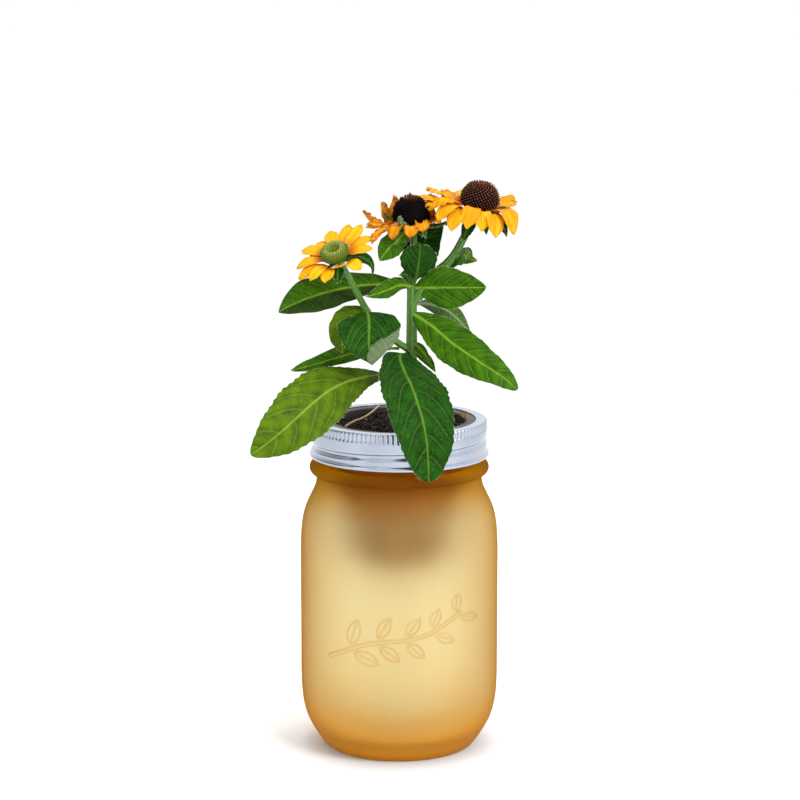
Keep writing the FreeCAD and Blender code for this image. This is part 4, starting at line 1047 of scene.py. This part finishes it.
bud_n, bud_u, bud_w = axes((0.5, -0.1, 0.86))
bud_c = np.array([30.5, 5.5, 243.0])
parts = stem([(9.5, 3.2, 222), (20, 6, 234), (30.5, 5.5, 243)], 1.2, 0.9, 6.0, 5)
# closed bud: narrow green scales that overlap round a dome
for k in range(11):
    a = 2 * math.pi * k / 11
    out = bud_u * math.cos(a) + bud_w * math.sin(a)
    rib = [bud_c + out * 1.8, bud_c + out * 3.0 + bud_n * 2.0, bud_c + out * 2.0 + bud_n * 4.4,
           bud_c + out * 0.6 + bud_n * 5.6]
    parts += [dict(p, m=2 if p.get("m") is None else 1) for p in leaf([tuple(p) for p in rib],
                                                                      tuple(np.cross(bud_n, out)), 1.1,
                                                                      thick=0.4,
                                                                      **{**small, "base": 0.4})]
for rib, side, half in (([(26, 4.0, 239), (29, 0, 242), (31, -3, 246)], (0.9, 0.2, -0.3), 2.8),
                        ([(28, 6.5, 241), (33, 7, 242), (38, 8, 241)], (0.1, 0.3, 0.9), 2.4),
                        ([(24, 5.0, 237), (22, 1, 239), (21, -2, 242)], (0.9, 0.2, 0.3), 2.4)):
    parts += [dict(p, m=2 if p.get("m") is None else 1) for p in leaf(rib, side, half, **small)]
shoot = make_piece("bud_and_shoot", parts, [stem_skin, hair_skin, mid_leaf])
settle(shoot, "bud_shoot")
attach(shoot, "plug")
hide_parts("bud_shoot")

# ---------------------------------------------------------------------------------------------
# Flower centres
# Each is a dome packed with tiny florets along the golden spiral. The left one is still a green
# button with a hollow; the middle one is going to seed and spiky; the right one is in full bloom.
golden_turn = 2.399963


def dome(profile, centre, axis, count, size, spike, tones):
    """Turned head with florets over it. tones is (share of the way up, tone) points for its colours."""
    line = smooth_line(profile, 70)
    n, u, w = axes(axis)
    c = np.array(centre, float)
    sides = 56
    turn = np.linspace(0, 2 * math.pi, sides, endpoint=False)
    low = np.array([[profile[0][0] * 0.75, 0.0], [profile[0][0] * 0.9, profile[0][1] * 0.5]])
    outline = np.concatenate([low, line[:-1]])
    outline[2:] -= [0.35 * size, 0.35 * size]
    ring = u[None, :] * np.cos(turn)[:, None] + w[None, :] * np.sin(turn)[:, None]
    pts = c + outline[:, None, :1] * ring[None, :, :] + outline[:, None, 1:] * n
    pts = np.concatenate([pts.reshape(-1, 3), [c], [c + n * (line[-1][1] - 0.35 * size)]])
    faces = turn_grid(len(outline), sides)
    k = len(pts) - 2
    faces += [(k, (j + 1) % sides, j) for j in range(sides)]
    end = (len(outline) - 1) * sides
    faces += [(k + 1, end + j, end + (j + 1) % sides) for j in range(sides)]
    base_tone = 0.35 * np.interp(np.linspace(0, 1, len(outline)), *zip(*tones))
    parts = [{"v": pts, "f": faces,
              "tone": np.concatenate([np.repeat(base_tone, sides), [0, tones[-1][1]]]), "peak": 0.0}]
    step = np.linalg.norm(np.diff(line, axis=0), axis=1)
    area = np.concatenate([[0], np.cumsum(step * (line[1:, 0] + line[:-1, 0]) / 2)])
    for k in range(count):
        share = (k + 0.5) / count
        at = np.interp(share * area[-1], area, np.linspace(0, 1, len(line)))
        i = min(int(at * (len(line) - 1)), len(line) - 2)
        f = at * (len(line) - 1) - i
        rz = line[i] * (1 - f) + line[i + 1] * f
        t2 = line[i + 1] - line[i]
        t2 /= np.linalg.norm(t2)
        a = k * golden_turn
        out = u * math.cos(a) + w * math.sin(a)
        normal = out * t2[1] - n * t2[0]
        place = c + out * rz[0] + n * rz[1]
        side = np.cross(normal, n + 0.01 * u)
        side /= np.linalg.norm(side)
        other = np.cross(normal, side)
        grow = size * dice.uniform(0.85, 1.15)
        high = spike * grow * dice.uniform(0.75, 1.25)
        local = grain_v * (grow * 0.62, grow * 0.62, high * 0.6)
        peak = np.clip(grain_v[:, 2], 0, 1)
        if spike > 1.2:
            local[:, :2] *= (1 - 0.75 * peak)[:, None]
        lean = 0.15 * dice.standard_normal(3)
        world = place + local[:, :1] * side + local[:, 1:2] * other + local[:, 2:] * (normal + lean)
        parts.append({"v": world, "f": grain_f, "tone": float(np.interp(at, *zip(*tones))), "peak": peak})
    return parts


def floret_skin(name, stops, tip, amount):
    """Floret material: colour along the head from its tone, with paler tips on the florets."""
    made, tree, skin = finish_named(name)
    tone = add(tree, "ShaderNodeAttribute", attribute_name="tone")
    peak = add(tree, "ShaderNodeAttribute", attribute_name="peak")
    place = add(tree, "ShaderNodeTexCoord")
    vary = add(tree, "ShaderNodeTexNoise", {"Vector": place.outputs["Object"], "Scale": 1300.0,
                                            "Detail": 3.0})
    ramp = add(tree, "ShaderNodeValToRGB", {"Fac": tone.outputs["Fac"]})
    ramp.color_ramp.elements[0].color = srgb(stops[0])
    ramp.color_ramp.elements[1].color = srgb(stops[-1])
    for k, code in enumerate(stops[1:-1]):
        ramp.color_ramp.elements.new((k + 1) / (len(stops) - 1)).color = srgb(code)
    sharp = add(tree, "ShaderNodeMath", {0: peak.outputs["Fac"], 1: 2.5}, operation="POWER")
    part = add(tree, "ShaderNodeMath", {0: sharp.outputs["Value"], 1: amount}, operation="MULTIPLY")
    tipped = add(tree, "ShaderNodeMix", {"Factor": part.outputs["Value"], "A": ramp.outputs["Color"],
                                         "B": srgb(tip)}, data_type="RGBA")
    level = add(tree, "ShaderNodeMapRange", {"Value": vary.outputs["Fac"], "To Min": 0.65, "To Max": 1.2})
    final = add(tree, "ShaderNodeMix", {"Factor": 1.0, "A": tipped.outputs["Result"],
                                        "B": level.outputs["Result"]}, data_type="RGBA",
                blend_type="MULTIPLY")
    tree.links.new(final.outputs["Result"], skin.inputs["Base Color"])
    bump = add(tree, "ShaderNodeBump", {"Height": vary.outputs["Fac"], "Strength": 0.5, "Distance": 0.0002})
    tree.links.new(bump.outputs["Normal"], skin.inputs["Normal"])
    skin.inputs["Roughness"].default_value = 0.7
    skin.inputs["Specular IOR Level"].default_value = 0.08
    return made


button = floret_skin("green_button_florets", ["#46540F", "#6E7E20", "#BCC47C", "#1E280C"], "#C8CC90", 0.3)
seeding = floret_skin("dark_seeding_florets", ["#070203", "#0B0304", "#160807", "#5E3C20"], "#1E0C0A", 0.4)
ripe = floret_skin("maroon_florets", ["#120206", "#26090A", "#4E2214", "#3E1E14"], "#C08E5C", 0.75)

left_axis, left_c = (-0.25, -0.5, 0.83), (-30.3, -13.6, 245.2)
parts = dome([(6.8, 1.6), (7.5, 3.2), (6.6, 5.4), (4.2, 6.3), (2.6, 5.6), (0, 5.0)], left_c, left_axis,
             270, 0.62, 1.3, [(0, 0.0), (0.35, 0.33), (0.6, 0.66), (0.72, 1.0), (1, 1.0)])
piece = make_piece("left_button", parts, [button])
settle(piece, "left_flower_disc")
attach(piece, "plug")
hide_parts("left_flower_disc")

mid_axis, mid_c = (-0.05, -0.08, 1), (6.3, 1, 258.6)
parts = dome([(8.2, 1.2), (10.0, 4.6), (9.5, 9.0), (6.8, 13.2), (3.3, 15.2), (0, 15.8)], mid_c, mid_axis,
             440, 0.95, 2.6, [(0, 0.0), (0.55, 0.33), (0.72, 0.66), (0.9, 1.0), (1, 1.0)])
piece = make_piece("middle_seed_cone", parts, [seeding])
settle(piece, "middle_flower_cone")
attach(piece, "plug")
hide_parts("middle_flower_cone")

right_axis, right_c = (0.14, -0.12, 0.98), (38.3, 0.5, 267.0)
parts = dome([(8.6, 1.0), (10.1, 4.0), (9.6, 8.0), (7.2, 11.8), (3.6, 13.6), (1.8, 13.2), (0, 12.4)],
             right_c, right_axis, 420, 0.86, 1.7, [(0, 0.0), (0.35, 0.33), (0.65, 0.66), (1, 1.0)])
piece = make_piece("right_bloom_cone", parts, [ripe])
settle(piece, "right_flower_cone")
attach(piece, "plug")
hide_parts("right_flower_cone")

# ---------------------------------------------------------------------------------------------
# Ray petals
# Thin yellow petals with grooves along them and two or three small teeth at the end, orange at the
# base. Those of the middle flower are withered: curled, crumpled and browned along their edges.
def ray(centre, axis, azimuth, start, reach, half, rise, drop, layer, crumple=0.0, fold=0.1):
    """One petal as a thin closed sheet with marks along and across it."""
    n, u, w = axes(axis)
    a = math.radians(azimuth)
    out = u * math.cos(a) + w * math.sin(a)
    c = np.array(centre, float) + n * layer
    rib = np.array([c + out * start, c + out * (start + reach) / 2 + n * rise, c + out * reach - n * drop])
    rows, cols = 46, 19
    t, v = np.linspace(0, 1, rows), np.linspace(-1, 1, cols)
    line = smooth_line(rib, t)
    run = np.gradient(line, axis=0)
    run /= np.linalg.norm(run, axis=1)[:, None]
    across = np.cross(n, out)
    normal = np.cross(run, across)
    T, U = np.meshgrid(t, v, indexing="ij")
    share = np.where(t < 0.6, np.sin(np.pi / 2 * (0.18 + 0.82 * t / 0.6)),
                     np.clip(1 - ((t - 0.6) / 0.4) ** 2.1, 0, 1) ** 0.8)
    W = np.maximum(half * share, 0.35)[:, None]
    phase = dice.uniform(0, 6.28, 5)
    notch = 0.10 * np.linalg.norm(rib[-1] - rib[0])
    near_end = np.clip((T - 0.7) / 0.3, 0, 1)
    teeth = notch * (0.5 + 0.5 * np.cos(3 * np.pi * U + phase[0])) * near_end ** 2
    lift = fold * half * np.abs(U) ** 1.6 + 0.10 * np.cos(U * 9.4) * (1 - 0.5 * T)
    lift += (0.25 + crumple) * (np.sin(T * 7 + U * 2.2 + phase[1]) * 0.5 * T
                                + np.sin(T * 17 + U * 4 + phase[2]) * 0.28 * np.abs(U)
                                + crumple * 0.3 * np.sin(T * 29 + U * 9 + phase[3]))
    sway = (0.15 + crumple) * 0.5 * np.sin(T * 5 + phase[4]) * T
    X = U * W + sway
    face = (line[:, None, :] - run[:, None, :] * teeth[..., None] + across * X[..., None]
            + normal[:, None, :] * lift[..., None])
    body = normal[:, None, :] * (0.11 * (1 - 0.5 * np.abs(U)))[..., None]
    pts, faces = closed_pair(face + body, face - body)
    return {"v": pts, "f": faces, "along": on_both(T), "across": on_both(U), "age": dice.uniform(0, 1)}


def petal_skin(name, base, body, tip, edge, edge_amount):
    """Petal material: base to tip gradient, lengthwise streaks, and edges that can be browned."""
    made, tree, skin = finish_named(name)
    along = add(tree, "ShaderNodeAttribute", attribute_name="along")
    across = add(tree, "ShaderNodeAttribute", attribute_name="across")
    age = add(tree, "ShaderNodeAttribute", attribute_name="age")
    place = add(tree, "ShaderNodeTexCoord")
    cloud = add(tree, "ShaderNodeTexNoise", {"Vector": place.outputs["Object"], "Scale": 330.0,
                                             "Detail": 4.0})
    ramp = add(tree, "ShaderNodeValToRGB", {"Fac": along.outputs["Fac"]})
    ramp.color_ramp.elements[0].color = srgb(base)
    ramp.color_ramp.elements[0].position = 0.05
    ramp.color_ramp.elements[1].color = srgb(tip)
    ramp.color_ramp.elements.new(0.45).color = srgb(body)
    ramp.color_ramp.elements.new(0.85).color = srgb(body)
    # fine lengthwise streaks, 0.2 mm apart on a petal and drawn at 0.5 mm
    grid = add(tree, "ShaderNodeCombineXYZ", {"X": across.outputs["Fac"], "Y": along.outputs["Fac"],
                                              "Z": age.outputs["Fac"]})
    streak_at = add(tree, "ShaderNodeMapping", {"Vector": grid.outputs["Vector"], "Scale": (7.0, 0.8, 9.0)})
    streak = add(tree, "ShaderNodeTexNoise", {"Vector": streak_at.outputs["Vector"], "Scale": 1.0,
                                              "Detail": 3.0})
    darker = add(tree, "ShaderNodeMapRange", {"Value": streak.outputs["Fac"], "From Min": 0.35,
                                              "From Max": 0.65, "To Min": 0.62, "To Max": 1.08})
    lined = add(tree, "ShaderNodeMix", {"Factor": 1.0, "A": ramp.outputs["Color"],
                                        "B": darker.outputs["Result"]}, data_type="RGBA",
                blend_type="MULTIPLY")
    older = add(tree, "ShaderNodeMapRange", {"Value": age.outputs["Fac"], "From Min": 0.4, "To Max": 0.3})
    aged = add(tree, "ShaderNodeMix", {"Factor": older.outputs["Result"], "A": lined.outputs["Result"],
                                       "B": srgb(base)}, data_type="RGBA")
    out = add(tree, "ShaderNodeMath", {0: across.outputs["Fac"]}, operation="ABSOLUTE")
    far = add(tree, "ShaderNodeMath", {0: out.outputs["Value"], 1: 3.0}, operation="POWER")
    worn = add(tree, "ShaderNodeMath", {0: far.outputs["Value"], 1: cloud.outputs["Fac"]}, operation="ADD")
    amount = add(tree, "ShaderNodeMapRange", {"Value": worn.outputs["Value"], "From Min": 0.55,
                                              "From Max": 1.5, "To Min": 0.0, "To Max": edge_amount})
    final = add(tree, "ShaderNodeMix", {"Factor": amount.outputs["Result"], "A": aged.outputs["Result"],
                                        "B": srgb(edge)}, data_type="RGBA")
    tree.links.new(final.outputs["Result"], skin.inputs["Base Color"])
    bump = add(tree, "ShaderNodeBump", {"Height": streak.outputs["Fac"], "Strength": 0.5,
                                        "Distance": 0.0003})
    tree.links.new(bump.outputs["Normal"], skin.inputs["Normal"])
    skin.inputs["Roughness"].default_value = 0.5
    skin.inputs["Specular IOR Level"].default_value = 0.15
    lit = add(tree, "ShaderNodeBsdfTranslucent", {"Color": final.outputs["Result"]})
    blend = add(tree, "ShaderNodeMixShader", {0: 0.25, 1: skin.outputs["BSDF"], 2: lit.outputs["BSDF"]})
    tree.links.new(blend.outputs["Shader"], tree.nodes["Material Output"].inputs["Surface"])
    return made


fresh = petal_skin("fresh_yellow_petal", "#EA7C04", "#FFCC08", "#F8D414", "#DC8E08", 0.5)
orange = petal_skin("orange_yellow_petal", "#E87604", "#FFBA08", "#FFD010", "#CC7408", 0.5)
withered = petal_skin("withered_orange_petal", "#DC7808", "#FCA812", "#E09418", "#7E4410", 0.7)

parts = [ray(left_c, left_axis, az, 6.6, reach, 3.5, rise, drop, -1.2 * (i % 2))
         for i, (az, reach, rise, drop) in enumerate([
             (150, 20, 1.5, 0), (168, 16, 0.5, 1), (185, 20, 1.5, 1), (206, 21, 1.5, 1), (228, 19, 1.5, 0),
             (251, 17.5, 1.5, 0), (284, 11, 1, -2), (318, 16, 1.5, 1), (2, 18, 1.5, 0), (32, 21, 1.5, 0),
             (55, 23, 1, -2), (74, 23, 1, -2), (99, 20, 1, -1), (124, 17, 1, -1)])]
piece = make_piece("left_ray_petals", parts, [fresh])
settle(piece, "left_flower_petals")
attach(piece, "plug")
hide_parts("left_flower_petals")

parts = [ray((6.3, 1, 260.2), mid_axis, az, 9.0, reach, 3.6, rise, drop, -1.2 * (i % 2), crumple=1.0,
             fold=0.4) for i, (az, reach, rise, drop) in enumerate([(150, 16, -2, -9), (172, 24, 0, -7),
                                                                    (193, 23, -1, 0), (214, 24, -1, 6),
                                                                    (238, 17, 0, 6), (268, 15, 1, 4),
                                                                    (292, 14, 1, 3), (322, 18, 2, -2),
                                                                    (345, 20, 2, -4), (8, 18, 2, -3),
                                                                    (52, 16, -2, -11), (90, 16, -2, -13),
                                                                    (122, 16, -2, -11)])]
piece = make_piece("middle_withered_petals", parts, [withered])
settle(piece, "middle_flower_petals")
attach(piece, "plug")
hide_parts("middle_flower_petals")

parts = [ray((38.3, 0.5, 268.8), right_axis, az, 9.2, reach, 4.6, rise, drop, -1.2 * (i % 3),
             crumple=1.0 if 120 < az < 210 else 0.45)
         for i, (az, reach, rise, drop) in enumerate([
             (150, 30, 1, -1), (166, 33, 0, 1), (182, 28, 1, 2), (199, 25, 2, 4), (217, 24, 2, 6),
             (236, 22, 2, 8), (256, 20, 2, 8), (275, 20, 2, 7), (294, 22, 2, 8), (314, 25, 2, 8),
             (336, 21, 2, 4), (0, 19, 2, 0), (20, 20, 1, -3), (42, 23, 1, -5), (66, 22, 1, -3),
             (90, 22, 1, -2), (112, 24, 1, -2),
             (132, 27, 1, -3)])]
piece = make_piece("right_ray_petals", parts, [orange])
settle(piece, "right_flower_petals")
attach(piece, "plug")
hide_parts("right_flower_petals")
